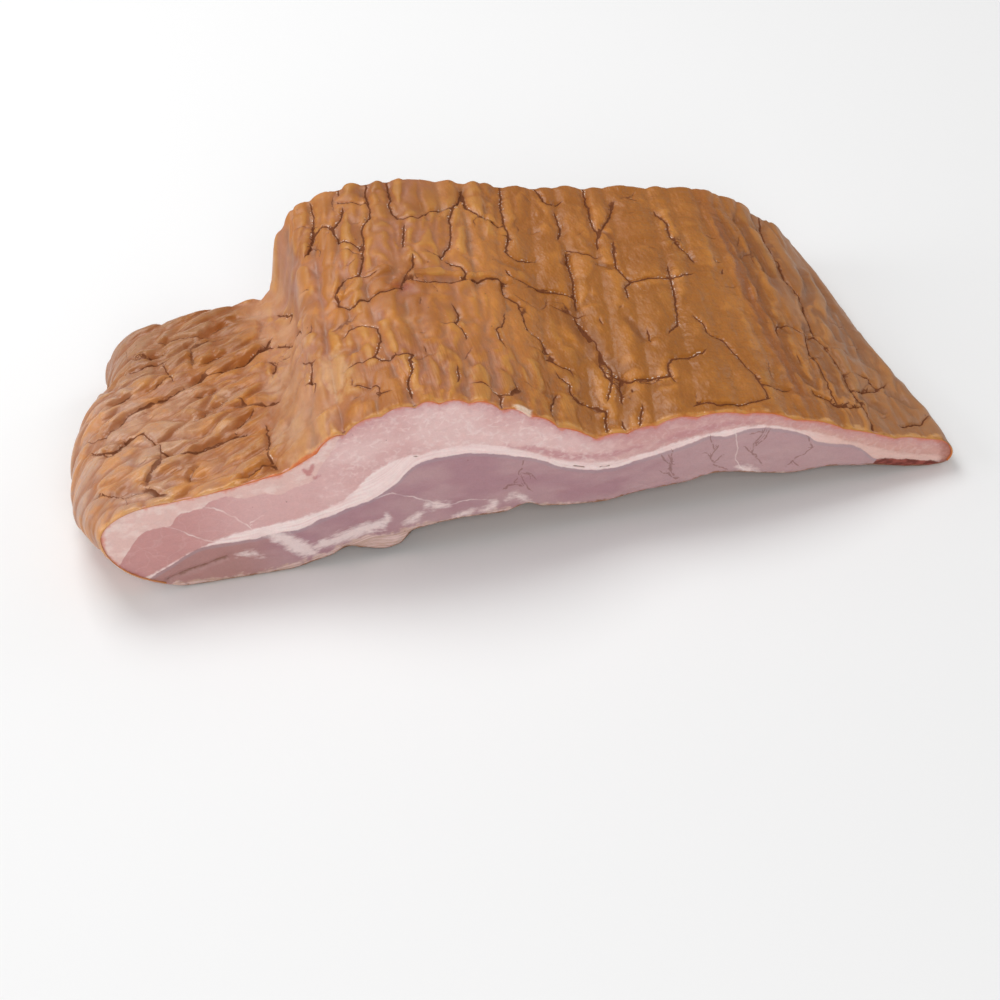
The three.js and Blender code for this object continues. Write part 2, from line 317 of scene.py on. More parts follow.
# Thin white walls between the muscles, and brown veins, as runs of (x, height).
WALLS = [
    [(-131.8, 28.6), (-128.6, 26.9), (-124.6, 23.6), (-120.4, 20.8), (-117, 19.2)],
    [(-117.6, 35), (-112.8, 32.5), (-108.2, 28.5), (-104.2, 24.4), (-102.6, 21.9)],
    [(-101.8, 24.7), (-99.4, 26), (-97.7, 26.7)],
    [(-56, 26.5), (-50, 27.6), (-43.3, 25), (-36.7, 21.4), (-31, 18.7), (-27.6, 18.2), (-24, 19.2),
     (-15.9, 18.3)],
    [(79.4, 30), (80.1, 23.4), (79.4, 18.1), (82, 13.5)],
]
VEINS = [
    [(-8.1, 21.6), (-5.7, 23.3), (-3.9, 25.1)], [(-6.9, 22.5), (-4.6, 23.1), (-2.3, 21.8)],
    [(-2.9, 27.3), (-1.3, 23.9), (0, 21.1), (1.4, 19.4)], [(-0.4, 27.3), (1.4, 26), (1.1, 24.7)],
    [(1.4, 25.5), (3.1, 24.4)], [(-0.6, 33), (-1.3, 30.2), (-2.9, 27.3)],
    [(55.1, 27.2), (55.2, 22.6), (53.8, 18.6), (57.3, 14.1)], [(51.1, 25.2), (52.8, 22.1), (54.4, 18.8)],
    [(50.7, 18), (53.8, 16.2), (56.9, 13.6)], [(55, 21.7), (53.9, 24.7)], [(70, 30), (71.1, 25)],
    [(72.8, 25.3), (70.2, 21.6), (71, 17.5), (75.8, 14.7)], [(67.6, 23), (70, 21.4)],
    [(71.2, 18.6), (74.4, 20.8)], [(90.7, 29.6), (88.6, 26), (86.5, 23.6), (86.1, 20), (90.1, 14)],
    [(85.8, 28.9), (88.1, 29.4), (90.1, 28.5)], [(92.1, 28.6), (90.2, 24.8), (87.4, 23.5)],
    [(83.5, 22.8), (85.9, 20)], [(109.1, 17.8), (106, 15.7), (102.8, 14.2), (99.6, 11.2)],
    [(102, 13.2), (103.7, 10.9)], [(109.1, 17.8), (108.6, 20.4), (107.5, 22.8)],
]
SLITS = [[(-41, 41.7), (-39.1, 42)], [(17.9, 26.8), (21.9, 25.4)], [(27.8, 24.3), (31.3, 24.3)]]
CREASE = [[(-134.5, 5), (-132.2, 6), (-126.6, 7.7), (-121.9, 8.5), (-117.2, 9.7), (-112.5, 10.9)]]
# Patches with soft edges, as runs of (x, height, half width).
WHITE_PATCHES = [
    [(-97, 18.6, 1), (-94.6, 17.6, 2), (-90.9, 15.2, 2.4), (-86.7, 11.4, 2.8), (-83, 8, 2.4),
     (-79.5, 5.5, 0.6)],
    [(-80, 8.6, 0.8), (-77.1, 9.7, 1.5), (-71.2, 11.3, 1.9), (-65, 12.6, 2.2), (-59, 14.2, 2.3),
     (-54, 15.4, 1.2)],
    [(-54.6, 13.6, 1.2), (-52.6, 16, 0.9), (-52.8, 18.6, 0.2)],
    [(-45.6, 13.4, 0.4), (-43.6, 14.4, 1.2), (-41.4, 15.6, 1), (-39.4, 16.8, 0.2)],
    [(-38, 20, 0.6), (-34, 19, 1.3), (-30, 18.3, 0.7)],
    [(-28.4, 12.2, 0.4), (-26.2, 12.8, 1.3), (-22.6, 13.7, 0.8), (-20.6, 14.4, 0.2)],
    [(-17.6, 13.6, 0.4), (-15.6, 14, 1.1), (-13.2, 14.4, 0.8), (-11.9, 16, 0.7), (-14.2, 17.2, 0.4)],
    [(-108.5, 10.8, 0.2), (-105.6, 11.4, 0.6), (-102.8, 11.1, 0.5), (-100, 9, 0.1)],
    [(80.6, 14.4, 0.3), (82.4, 13.2, 1.2), (85, 12, 1.1), (88, 10.6, 0.3)],
    [(-8, 17, 0.2), (-5.4, 18.4, 0.5), (-3.4, 17.2, 0.8), (-1.7, 15.6, 0.8), (0.3, 13.7, 0.7),
     (2, 12.5, 0.3)],
]
RED_PATCHES = [
    [(-80.8, 44.2, 0.5), (-79.4, 42.2, 1), (-78.4, 43.6, 0.7), (-77.6, 45.4, 0.4)],
    [(-77.2, 39.9, 0.5), (-75.2, 40.5, 0.3)],
]
ROSE_BANDS = [
    [(49.6, 31.4, 0.3), (59, 32.9, 1), (67.6, 34.6, 1.3), (78.6, 34.6, 0.9), (86, 34, 0.2)],
    [(-8, 40.5, 0.2), (4, 37, 0.9), (16, 31.5, 1.2), (30, 29, 1), (44, 31, 0.2)],
]


def beside(x, z, run):
    """Distance to a run, the side of it, its half width there, and how far along it that is, 0 to 1."""
    stations = np.array([(*station, 0)[:3] for station in run], float)
    lengths = np.concatenate([[0], np.cumsum(np.hypot(*np.diff(stations[:, :2], axis=0).T))])
    gap = np.full(x.shape, np.inf)
    side, width, passed = np.ones(x.shape), np.zeros(x.shape), np.zeros(x.shape)
    for k, ((x0, z0, from_width), (x1, z1, to_width)) in enumerate(zip(stations, stations[1:])):
        run_x, run_z = x1 - x0, z1 - z0
        t = np.clip(((x - x0) * run_x + (z - z0) * run_z) / (run_x**2 + run_z**2), 0, 1)
        to_stretch = np.hypot(x - x0 - t * run_x, z - z0 - t * run_z)
        closer = to_stretch < gap
        side = np.where(closer, np.sign(run_x * (z - z0) - run_z * (x - x0)), side)
        width = np.where(closer, mix(from_width, to_width, t), width)
        passed = np.where(closer, mix(lengths[k], lengths[k + 1], t) / lengths[-1], passed)
        gap = np.minimum(gap, to_stretch)
    return gap, side, width, passed


def nearest_stretch(x, z, runs):
    """Distance to the nearest of several runs, the side of it, and how far inside a run's half width."""
    gaps, sides, widths, _ = (np.array(values) for values in zip(*[beside(x, z, run) for run in runs]))
    nearest = gaps.argmin(0)[None]
    gap, side = (np.take_along_axis(values, nearest, 0)[0] for values in (gaps, sides))
    return gap, side, (widths - gaps).max(0)


WALL_STRAY, VEIN_STRAY = 0.5, 0.8
stray_x, stray_z = (clouds(layer_x / 3, layer_z / 3, float(seed), 2) for seed in (1, 2))
walls, walls_side, _ = nearest_stretch(layer_x + WALL_STRAY * stray_x, layer_z + WALL_STRAY * stray_z, WALLS)
veins, veins_side, _ = nearest_stretch(layer_x + VEIN_STRAY * stray_x, layer_z + VEIN_STRAY * stray_z, VEINS)
crease, _, _ = nearest_stretch(layer_x, layer_z, CREASE)
slits, _, _ = nearest_stretch(layer_x, layer_z, SLITS)
above_seam_foot = layer_z - curve(SEAM_FOOT, layer_x)
below_seam_top = curve(SEAM_TOP, layer_x) - layer_z

# On the cut the muscles swell a little, and the crease and the walls between them sink.
SWELLING, LEAST_SUNK = 0.3, 0.1
SEAM_SINKS, SEAM_SOFT = 0.2, 0.8  # how deep the white seam lies, and how softly its edges go down
FOOT_ROUND, FOOT_HEIGHT = 1.8, 2.4  # how far the foot of the cut draws in, and over what height
HELD_BACK, HELD_RUN = 1.2, 3  # how far the layers behind the cut keep clear of it, and over what depth
in_seam = np.ones_like(meat_x)
for inside in (above_seam_foot, below_seam_top):
    in_seam = in_seam * ease((inside + SEAM_SOFT) / (2 * SEAM_SOFT))
sunk = CUT_BACK + SEAM_SINKS * in_seam + SWELLING * clouds(meat_x / 9, meat_z / 5, 3.0)
for gap, groove, reach in ((crease, 1.1, 1.4), (walls, 0.2, 0.8), (slits, 0.5, 0.7)):
    sunk = sunk + groove * (1 - ease(gap / reach))
on_cut = np.maximum(sunk, LEAST_SUNK) + FOOT_ROUND * (1 - quarter_round(above_foot, FOOT_HEIGHT))
behind_cut = depth + HELD_BACK * (1 - ease(depth / HELD_RUN))
meat_y = CUT_Y + np.where(inward == 0, on_cut, behind_cut)
place_vertices(meat.data, np.column_stack([meat_x, meat_y, meat_z]))

# Veins, slits and red spots show on the cut alone, and the rind ends above the foot of the nose.
FAR_OFF = 99
off_cut = FAR_OFF * rising(depth, 0.5, 2) * (inward > 0)
to_nose = np.where(height > 0.12, meat_x - left_x, FAR_OFF)
for name, values in {
    "above_fat_foot": layer_z - curve(FAT_FOOT, layer_x),
    "below_seam_top": below_seam_top,
    "above_seam_foot": above_seam_foot,
    "below_membrane": curve(MEMBRANE_TOP, layer_x) - layer_z,
    "below_wedge": curve(WEDGE_TOP, layer_x) - layer_z,
    "walls_gap": walls,
    "walls_side": walls * walls_side,
    "veins_gap": veins + off_cut,
    "veins_side": veins * veins_side,
    "crease": crease,
    "slits": slits + off_cut,
    "white_patches": nearest_stretch(layer_x, layer_z, WHITE_PATCHES)[2],
    "red_patches": nearest_stretch(layer_x, layer_z, RED_PATCHES)[2] - off_cut,
    "rose_bands": nearest_stretch(layer_x, layer_z, ROSE_BANDS)[2],
    "skin_gap": np.minimum(below_top, to_nose),
    "foot_gap": above_foot,
    "right_gap": right_x - meat_x,
}.items():
    paint(meat.data, name, values)


def close_and_thin(thing, plain, kept):
    """Turns all faces outward, keeps only a share of the plain vertices, and shades smoothly."""
    bpy.ops.object.mode_set(mode="EDIT")
    bpy.ops.mesh.select_all(action="SELECT")
    bpy.ops.mesh.normals_make_consistent(inside=False)
    bpy.ops.mesh.select_all(action="DESELECT")
    bpy.ops.mesh.select_mode(type="VERT")
    bpy.ops.object.mode_set(mode="OBJECT")
    thing.data.vertices.foreach_set("select", plain)
    bpy.ops.object.mode_set(mode="EDIT")
    bpy.ops.mesh.decimate(ratio=kept)
    bpy.ops.object.mode_set(mode="OBJECT")
    bpy.ops.object.shade_smooth()


# The far face shows no fine layers, so it needs fewer faces.
FAR_FACE_KEPT = 0.3
within = (height > 0.02) & (height < 0.98) & (along > 0.005) & (along < 0.995)
close_and_thin(meat, within & (inward == 1), FAR_FACE_KEPT)


class Finish:
    """The finish of one surface, built up a node at a time. Sizes are in millimetres."""

    def __init__(self, name):
        self.material = bpy.data.materials.new(name)
        self.material.use_nodes = True
        self.tree = self.material.node_tree
        self.shader = self.tree.nodes["Principled BSDF"]
        self.place = self.tree.nodes.new("ShaderNodeTexCoord").outputs["Object"]

    def put(self, socket, value):
        if isinstance(value, bpy.types.NodeSocket):
            self.tree.links.new(value, socket)
        else:
            socket.default_value = value

    def node(self, kind, inputs, **settings):
        made = self.tree.nodes.new(kind)
        for name, value in settings.items():
            setattr(made, name, value)
        for name, value in inputs.items():
            self.put(made.inputs[name], value)
        return made

    def math(self, operation, a, b=0.0, c=0.0):
        return self.node("ShaderNodeMath", {0: a, 1: b, 2: c}, operation=operation).outputs[0]

    def painted(self, name):
        return self.node("ShaderNodeAttribute", {}, attribute_name=name).outputs["Fac"]

    def stretch(self, sizes, turn=0.0):
        """Places measured so that a pattern of size 1 comes out as many millimetres long on each axis."""
        turned = self.node("ShaderNodeMapping", {"Vector": self.place, "Rotation": (0, 0, turn)}).outputs[0]
        scale = [1 / (MM * size) for size in sizes]
        return self.node("ShaderNodeMapping", {"Vector": turned, "Scale": scale}).outputs[0]

    def along_layers(self, name, length, thickness):
        """Places measured along the cut and across a layer that a painted distance follows."""
        across = self.math("DIVIDE", self.painted(name), thickness)
        onward = self.math("DIVIDE", self.along_x(), length)
        return self.node("ShaderNodeCombineXYZ", {"X": onward, "Y": across}).outputs[0]

    def noise_at(self, places, detail=2.0, roughness=0.5, output="Fac"):
        inputs = {"Vector": places, "Scale": 1.0, "Detail": detail, "Roughness": roughness}
        return self.node("ShaderNodeTexNoise", inputs).outputs[output]

    def mottle(self, sizes, detail=2.0, roughness=0.5, turn=0.0):
        return self.noise_at(self.stretch(sizes, turn), detail, roughness)

    def cells(self, sizes, warp=0.0, feature="DISTANCE_TO_EDGE"):
        """Distance to the walls of cells, which a warp above 0 bends."""
        places = self.stretch(sizes)
        drift = self.noise_at(places, 1.0, 0.5, "Color")
        inputs = {0: drift, 1: (warp, warp, warp), 2: places}
        bent = self.node("ShaderNodeVectorMath", inputs, operation="MULTIPLY_ADD").outputs[0]
        voronoi = self.node("ShaderNodeTexVoronoi", {"Vector": bent, "Scale": 1.0}, feature=feature)
        return voronoi.outputs["Distance"]

    def rise(self, value, start, end):
        """0 up to start, 1 from end on, smooth between."""
        inputs = {"Value": value, "From Min": start, "From Max": end, "To Min": 0.0, "To Max": 1.0}
        return self.node("ShaderNodeMapRange", inputs, interpolation_type="SMOOTHSTEP").outputs["Result"]

    def fall(self, value, start, end):
        """1 up to start, 0 from end on, smooth between."""
        inputs = {"Value": value, "From Min": start, "From Max": end, "To Min": 1.0, "To Max": 0.0}
        return self.node("ShaderNodeMapRange", inputs, interpolation_type="SMOOTHSTEP").outputs["Result"]

    def spread(self, value, start, end):
        """A mottle about 0.5 spread to run from start to end."""
        inputs = {"Value": value, "From Min": 0.3, "From Max": 0.7, "To Min": start, "To Max": end}
        return self.node("ShaderNodeMapRange", inputs).outputs["Result"]

    def times(self, *values):
        product = values[0]
        for value in values[1:]:
            product = self.math("MULTIPLY", product, value)
        return product

    def total(self, *terms):
        """The sum of several products, each given by its factors."""
        added = self.times(*terms[0])
        for term in terms[1:]:
            added = self.math("ADD", added, self.times(*term))
        return added

    def spared(self, mask, share):
        """1, and less by that share where the mask is 1."""
        return self.math("MULTIPLY_ADD", mask, -share, 1.0)

    def blend(self, amount, under, over):
        made = self.node("ShaderNodeMix", {}, data_type="RGBA")
        for socket, value in ((0, amount), (6, under), (7, over)):
            self.put(made.inputs[socket], value)
        return made.outputs[2]

    def coated(self, colour, *coats):
        """A colour under coats, each a colour and the amounts that multiply to how thickly it lies."""
        for over, *amounts in coats:
            colour = self.blend(self.times(*amounts), colour, over)
        return colour

    def shade(self, colour, brightness):
        return self.node("ShaderNodeHueSaturation", {"Color": colour, "Value": brightness}).outputs["Color"]

    def bump(self, height, distance_mm, normal=None):
        inputs = {"Height": height, "Distance": distance_mm * MM, "Strength": 1.0}
        if normal is not None:
            inputs["Normal"] = normal
        return self.node("ShaderNodeBump", inputs).outputs["Normal"]

    def along_x(self):
        """The place along the cut, in millimetres."""
        x = self.node("ShaderNodeSeparateXYZ", {"Vector": self.place}).outputs["X"]
        return self.math("DIVIDE", x, MM)

    def soak(self, weight, radius, depth_mm):
        """Lets light soak in under the surface: how much, how far for red, green and blue, and the scale."""
        self.shader.inputs["Subsurface Weight"].default_value = weight
        self.shader.inputs["Subsurface Radius"].default_value = radius
        self.shader.inputs["Subsurface Scale"].default_value = depth_mm * MM


def tone(red, green, blue):
    """A colour given in 0 to 255 as it looks, as the linear colour that a shader takes."""
    seen = np.array([red, green, blue]) / 255
    linear = np.where(seen <= 0.04045, seen / 12.92, ((seen + 0.055) / 1.055) ** 2.4)
    return (*linear.tolist(), 1.0)


PALE_FAT = tone(218, 180, 172)
CREAM_FAT = tone(226, 197, 189)
SALMON_LEAN = tone(193, 139, 135)
PINK_LEAN = tone(220, 184, 180)
ROSE_LEAN = tone(210, 166, 163)
DEEP_ROSE = tone(184, 124, 128)
PEACH_LEAN = tone(206, 156, 142)
MAUVE_LEAN = tone(168, 126, 133)
GREY_LEAN = tone(186, 151, 151)
BROWN_LEAN = tone(171, 123, 115)
WHITE_SEAM = tone(240, 221, 216)
PINK_SEAM = tone(230, 198, 195)
PEACH_SEAM = tone(216, 172, 158)
BLUE_LINE = tone(160, 142, 148)
MEMBRANE = tone(196, 164, 144)
SMOKED_EDGE = tone(142, 94, 54)
BLUSH = tone(208, 112, 80)
VEIN_BROWN = tone(134, 92, 86)
CREASE_BROWN = tone(122, 78, 50)
DARK_RED = tone(108, 38, 26)
DEEP_RED = tone(150, 72, 60)
RED_SPOT = tone(176, 92, 94)
TIP_BROWN = tone(156, 84, 60)

finish = Finish("cured belly meat")
x_mm = finish.along_x()
wobble = finish.spread(finish.mottle((5, 40, 4), 3), -1.1, 1.1)
fine_wobble = finish.spread(finish.mottle((1.6, 20, 1.4), 2), -0.5, 0.5)
edge_noise = finish.math("ADD", wobble, fine_wobble)
grain = finish.mottle((0.7, 3, 0.7), 3, 0.6)


def wandering(name, reach):
    """A painted distance that wanders by up to about that many millimetres."""
    return finish.math("MULTIPLY_ADD", edge_noise, reach, finish.painted(name))


def past(name, softness, wander):
    """Switches to 1 where a painted distance passes 0. The edge wanders by so many millimetres."""
    return finish.rise(wandering(name, wander), -softness, softness)


def thin_line(name, half_width, reach=1.2):
    """A thin line along the painted runs of that name."""
    to_line = finish.math("ABSOLUTE", finish.painted(name + "_side"))
    on_line = finish.fall(to_line, half_width * 0.4, half_width * 1.6)
    return finish.times(on_line, finish.fall(finish.painted(name + "_gap"), reach * 0.6, reach))


# Above the seam lies lean: salmon lobes at the left, and pink with a net of fat through it at the right.
right_of_lobes = finish.rise(finish.math("MULTIPLY_ADD", edge_noise, 4.0, x_mm), -80, -64)
left_lean = finish.coated(SALMON_LEAN, (ROSE_LEAN, finish.rise(x_mm, -132, -96)))
right_lean = finish.coated(PINK_LEAN, (ROSE_LEAN, finish.rise(finish.mottle((34, 60, 16)), 0.4, 0.62)))
net = finish.times(
    finish.fall(finish.cells((4.2, 30, 3.0), 1.4), 0.0, 0.22),
    finish.rise(finish.mottle((3, 20, 2), 3), 0.42, 0.62),
    finish.spared(finish.rise(x_mm, 14, 44), 0.55),
    right_of_lobes,
)
upper_lean = finish.coated(
    finish.blend(right_of_lobes, left_lean, right_lean),
    (SALMON_LEAN, finish.rise(x_mm, 16, 46), 0.65),
    (PEACH_LEAN, finish.rise(x_mm, 70, 120), 0.7),
    (DEEP_ROSE, finish.rise(wandering("rose_bands", 0.6), -1.2, 0.8), 0.6),
    (WHITE_SEAM, net, 0.36),
    (PINK_SEAM, finish.fall(finish.cells((9, 30, 6), 1.3), 0.0, 0.05), 0.1),
    (DEEP_ROSE, finish.fall(wandering("skin_gap", 1.2), 0.5, 5.5), 0.5),
)

# Below it lies mauve lean, browner at the left end and greyer at the right.
lower_lean = finish.coated(
    MAUVE_LEAN,
    (GREY_LEAN, finish.rise(finish.mottle((24, 60, 9), 3), 0.36, 0.66), 0.6),
    (GREY_LEAN, finish.rise(x_mm, 36, 62), 0.65),
    (BROWN_LEAN, finish.fall(x_mm, -112, -84), 0.8),
)
fat = finish.coated(PALE_FAT, (CREAM_FAT, finish.rise(finish.mottle((7, 30, 4), 3, 0.6), 0.45, 0.66)))
seam_streaks = finish.noise_at(finish.along_layers("above_seam_foot", 16, 1.1), 3, 0.6)
seam = finish.coated(
    WHITE_SEAM,
    (PINK_SEAM, finish.rise(seam_streaks, 0.34, 0.74)),
    (PINK_SEAM, finish.rise(x_mm, -72, -30), 0.35),
    (PEACH_SEAM, finish.rise(x_mm, 86, 126), 0.75),
)
over_seam_foot = past("above_seam_foot", 0.3, 0.25)
under_seam = finish.math("ABSOLUTE", finish.math("ADD", finish.painted("above_seam_foot"), 0.7))
tufts = finish.noise_at(finish.along_layers("below_membrane", 5, 1.3), 4, 0.65)
tufts = finish.math("ADD", edge_noise, finish.spread(tufts, -1.7, 1.7))
white_patches = finish.math("MULTIPLY_ADD", tufts, 0.62, finish.painted("white_patches"))
strands = finish.noise_at(finish.along_layers("below_membrane", 12, 0.8), 3, 0.6)
membrane = finish.coated(MEMBRANE, (CREAM_FAT, finish.rise(strands, 0.44, 0.6)))
wedge = finish.coated(DARK_RED, (DEEP_RED, finish.rise(finish.mottle((4, 20, 1.5), 3), 0.4, 0.62)))
specks = finish.fall(finish.cells((7, 9, 7), 0.0, "F1"), 0.03, 0.055)

colour = finish.coated(
    lower_lean,
    (finish.coated(upper_lean, (fat, past("above_fat_foot", 0.35, 0.35))), over_seam_foot),
    (seam, past("below_seam_top", 0.7, 0.5), over_seam_foot),
    (BLUE_LINE, finish.fall(under_seam, 0.2, 1.1), 0.45),
    (WHITE_SEAM, thin_line("walls", 0.24), finish.spread(finish.mottle((5, 20, 5)), 0.15, 0.6)),
    (WHITE_SEAM, finish.rise(white_patches, -1.7, 1.5), 0.75),
    (VEIN_BROWN, thin_line("veins", 0.28), finish.rise(finish.mottle((1.3, 5, 1.3)), 0.3, 0.5), 0.7),
    (CREASE_BROWN, finish.fall(wandering("crease", 0.5), 0.0, 0.9), 0.7),
    (CREASE_BROWN, finish.fall(finish.painted("slits"), 0.1, 0.5), 0.8),
    (RED_SPOT, finish.rise(wandering("red_patches", 0.5), -0.7, 0.6), 0.65),
    (membrane, past("below_membrane", 0.9, 1.0), 0.75),
    (wedge, past("below_wedge", 0.35, 0.3)),
    (TIP_BROWN, finish.fall(wandering("right_gap", 1.2), 0.5, 6), 0.8),
    (SMOKED_EDGE, finish.fall(wandering("foot_gap", 0.6), 0.5, 1.6), 0.9),
    (BLUSH, finish.fall(wandering("skin_gap", 0.8), 0.0, 1.9), 0.7),
    (VEIN_BROWN, specks, finish.rise(finish.mottle((20, 30, 16), 1), 0.5, 0.6), 0.5),
)
colour = finish.shade(colour, finish.spread(finish.mottle((4, 12, 3), 3, 0.6), 0.97, 1.03))
colour = finish.shade(colour, finish.spread(grain, 0.965, 1.035))
finish.put(finish.shader.inputs["Base Color"], colour)
finish.put(finish.shader.inputs["Roughness"], finish.spread(finish.mottle((6, 12, 4), 3), 0.34, 0.5))
finish.soak(0.2, (1.0, 0.45, 0.35), 3)
swellings = finish.mottle((5, 9, 3), 3, 0.5)
finish.put(finish.shader.inputs["Normal"], finish.bump(grain, 0.12, finish.bump(swellings, 0.5)))
meat.data.materials.append(finish.material)
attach(meat, "root")
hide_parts(SLAB)

# ---- Smoked rind ----
# The pig's skin, left on the meat and browned in the smoke. It has dried and tightened, so it is
# drawn into long folds from the cut to the far edge and has cracked into plates. It wraps the
# nose at the left and the thin right edge, and the knife cut it through with the meat.

RIND_END = 5.7  # how far short of the far edge the rind stops, where it has begun to turn down
UNDER_NOSE, NOSE, TOP, RIGHT = 14, 34, 375, 12  # columns round each stretch of the outline
RIND_COLUMNS = UNDER_NOSE + NOSE + TOP + RIGHT
RIND_ROWS = 198
UNDER_TURN, RIGHT_TURN = 62, 50  # degrees that the rind turns under the nose and the right edge
EDGE_FADES = 14, 10, 14  # how far in the seams of the left, right and far edge still count

bpy.ops.object.select_all(action="DESELECT")
bpy.ops.mesh.primitive_grid_add(x_subdivisions=RIND_COLUMNS, y_subdivisions=RIND_ROWS, size=1)
rind = bpy.context.object
rind.name = rind.data.name = "smoked_rind"
bpy.ops.object.mode_set(mode="EDIT")
bpy.ops.mesh.select_all(action="SELECT")
bpy.ops.mesh.extrude_region_move(TRANSFORM_OT_translate={"value": (0, 0, -1)})
bpy.ops.object.mode_set(mode="OBJECT")
sheet = vertex_places(rind.data)
column = np.rint((sheet[:, 0] + 0.5) * RIND_COLUMNS).astype(int)
row = np.rint((sheet[:, 1] + 0.5) * RIND_ROWS).astype(int)
inner_side = sheet[:, 2] < -0.5


def rind_surface(x, share, under=False):
    """The slab's smooth outline at a place in plan, and how much of its full height it has there."""
    left, right = curve(LEFT_END, share * DEPTH), curve(RIGHT_END, share * DEPTH)
    reach = curve(FAR_EDGE, x)
    depth = share * reach
    top, foot = slab_heights(x, share)
    to_left, to_right, to_far = x - left, right - x, reach - depth
    widest, above, below = nose_shape(depth)
    weights = [1 / (1 + (gap / fade) ** 2) for gap, fade in zip((to_left, to_right, to_far), EDGE_FADES)]
    seams = widest, SEAM_RIGHT, SEAM_FAR
    seam = mix(foot, top, sum(weight * seam for weight, seam in zip(weights, seams)) / sum(weights))
    full = quarter_round(to_left, np.where(under, below, above))
    full = full * quarter_round(to_right, RIGHT_ROUND) * quarter_round(to_far, BACK_ROUND)
    z = np.where(under, seam - (seam - foot) * full, seam + (top - seam) * full)
    return np.stack([x, depth + CUT_Y, z], -1), full


# Columns lie evenly along the outline at mid-depth, so the steep flank of the hump gets its share.
SAMPLES = 600
sample_x = np.linspace(-144, 150, SAMPLES)
sample_z = slab_heights(sample_x, 0.5)[0]
run_length = np.concatenate([[0], np.cumsum(np.hypot(np.diff(sample_x), np.diff(sample_z)))])
even_top = np.interp(np.linspace(0, run_length[-1], TOP + 1), run_length, np.linspace(0, 1, SAMPLES))
columns = np.arange(RIND_COLUMNS + 1)
top_start = UNDER_NOSE + NOSE
turn = np.zeros(RIND_COLUMNS + 1)
turn[: UNDER_NOSE + 1] = np.radians(np.linspace(UNDER_TURN, 0, UNDER_NOSE + 1))
turn[UNDER_NOSE : top_start + 1] = np.radians(np.linspace(0, 90, NOSE + 1))
turn[top_start + TOP :] = np.radians(np.linspace(90, -RIGHT_TURN, RIGHT + 1))
along = np.zeros(RIND_COLUMNS + 1)
along[top_start : top_start + TOP + 1] = even_top
on_top = (columns >= top_start) & (columns <= top_start + TOP)
under_left = columns < UNDER_NOSE
under = under_left | (turn < 0)

far_share = 1 - RIND_END / DEPTH
share = (np.arange(RIND_ROWS + 1) / RIND_ROWS * far_share)[:, None] + np.zeros(RIND_COLUMNS + 1)
left, right = curve(LEFT_END, share * DEPTH), curve(RIGHT_END, share * DEPTH)
_, above, below = nose_shape(share * DEPTH)
nose_x = left + np.where(under_left, below, above) * (1 - np.cos(turn))
right_x = right - RIGHT_ROUND * (1 - np.cos(np.abs(turn)))
top_x = mix(left + above, right - RIGHT_ROUND, along)
rind_x = np.where(on_top, top_x, np.where(columns < top_start, nose_x, right_x))
base, full = rind_surface(rind_x, share, under)
down_columns, along_rows = np.gradient(base, axis=0), np.gradient(base, axis=1)


def unit(vectors):
    return vectors / np.linalg.norm(vectors, axis=-1, keepdims=True)


normal = unit(np.cross(along_rows, down_columns))

# Cracks as runs of (x, depth behind the cut): deep ones, lesser ones and fine ones.
DEEP_CRACKS = [
    [(-158, 56), (-152, 46), (-147, 44), (-142, 52), (-136, 53), (-130, 42), (-130, 35), (-122, 31),
     (-110, 33), (-102, 38), (-94, 34)],
    [(-124, 104), (-122, 93), (-121, 88)], [(-91, 40), (-91, 28), (-92, 13), (-91, 4)],
    [(-56, 155), (-56, 144), (-58, 133), (-61, 123), (-64, 118)],
    [(-43, 144), (-45, 137), (-50, 129), (-49, 119), (-42, 112), (-42, 109)],
    [(-31, 162), (-33, 149), (-33, 138), (-34, 132), (-39, 124), (-39, 116), (-41, 105), (-45, 91)],
    [(-23, 161), (-23, 147), (-25, 139), (-23, 129)],
    [(1, 138), (5, 146), (8, 155), (7, 140), (11, 134), (18, 129)],
    [(1, 138), (-2, 129), (-5, 111), (-9, 104), (-11, 99)], [(-21, 125), (-25, 106)],
    [(-9, 97), (-4, 94), (-3, 90), (-5, 84)], [(-22, 101), (-23, 93), (-27, 87), (-30, 80)],
    [(17, 112), (18, 108), (21, 106), (28, 107)], [(14, 99), (16, 94), (24, 89), (33, 86), (37, 84)],
    [(-30, 78), (-40, 76), (-48, 73), (-50, 70), (-56, 75), (-56, 82), (-54, 87)],
    [(-13, 67), (-11, 60), (-14, 52), (-11, 46), (-12, 41)],
    [(11, 87), (10, 80), (15, 75), (14, 57), (19, 55), (21, 43)],
    [(-34, 32), (-36, 27), (-36, 21), (-39, 15), (-39, 4)], [(25, 162), (21, 140), (20, 121), (18, 113)],
    [(38, 162), (41, 147), (49, 149)], [(43, 142), (43, 130), (40, 121)],
    [(59, 162), (58, 142), (56, 131), (57, 123), (54, 112)], [(70, 149), (66, 138), (60, 128), (57, 121)],
    [(62, 119), (59, 104), (59, 96), (62, 89), (59, 85), (58, 76)],
    [(62, 89), (73, 90), (83, 91), (90, 94)], [(80, 101), (79, 92), (77, 77), (73, 58), (67, 51)],
    [(85, 142), (88, 129), (86, 120), (91, 108), (92, 101)], [(41, 112), (40, 99), (37, 75)],
    [(35, 69), (37, 55)], [(33, 13), (32, 7), (31, 0)], [(47, 12), (43, 1)],
    [(42, 31), (46, 26), (54, 26), (61, 24), (61, 29), (64, 35), (72, 36), (80, 40)],
    [(64, 5), (67, 7), (75, 5), (84, 5), (95, 9)],
    [(136, 157), (133, 132), (133, 114), (132, 106), (134, 101), (135, 91), (133, 80), (132, 67),
     (131, 63)],
    [(131, 63), (133, 58), (134, 50), (135, 40), (134, 28), (135, 18), (135, 7), (134, 0)],
]
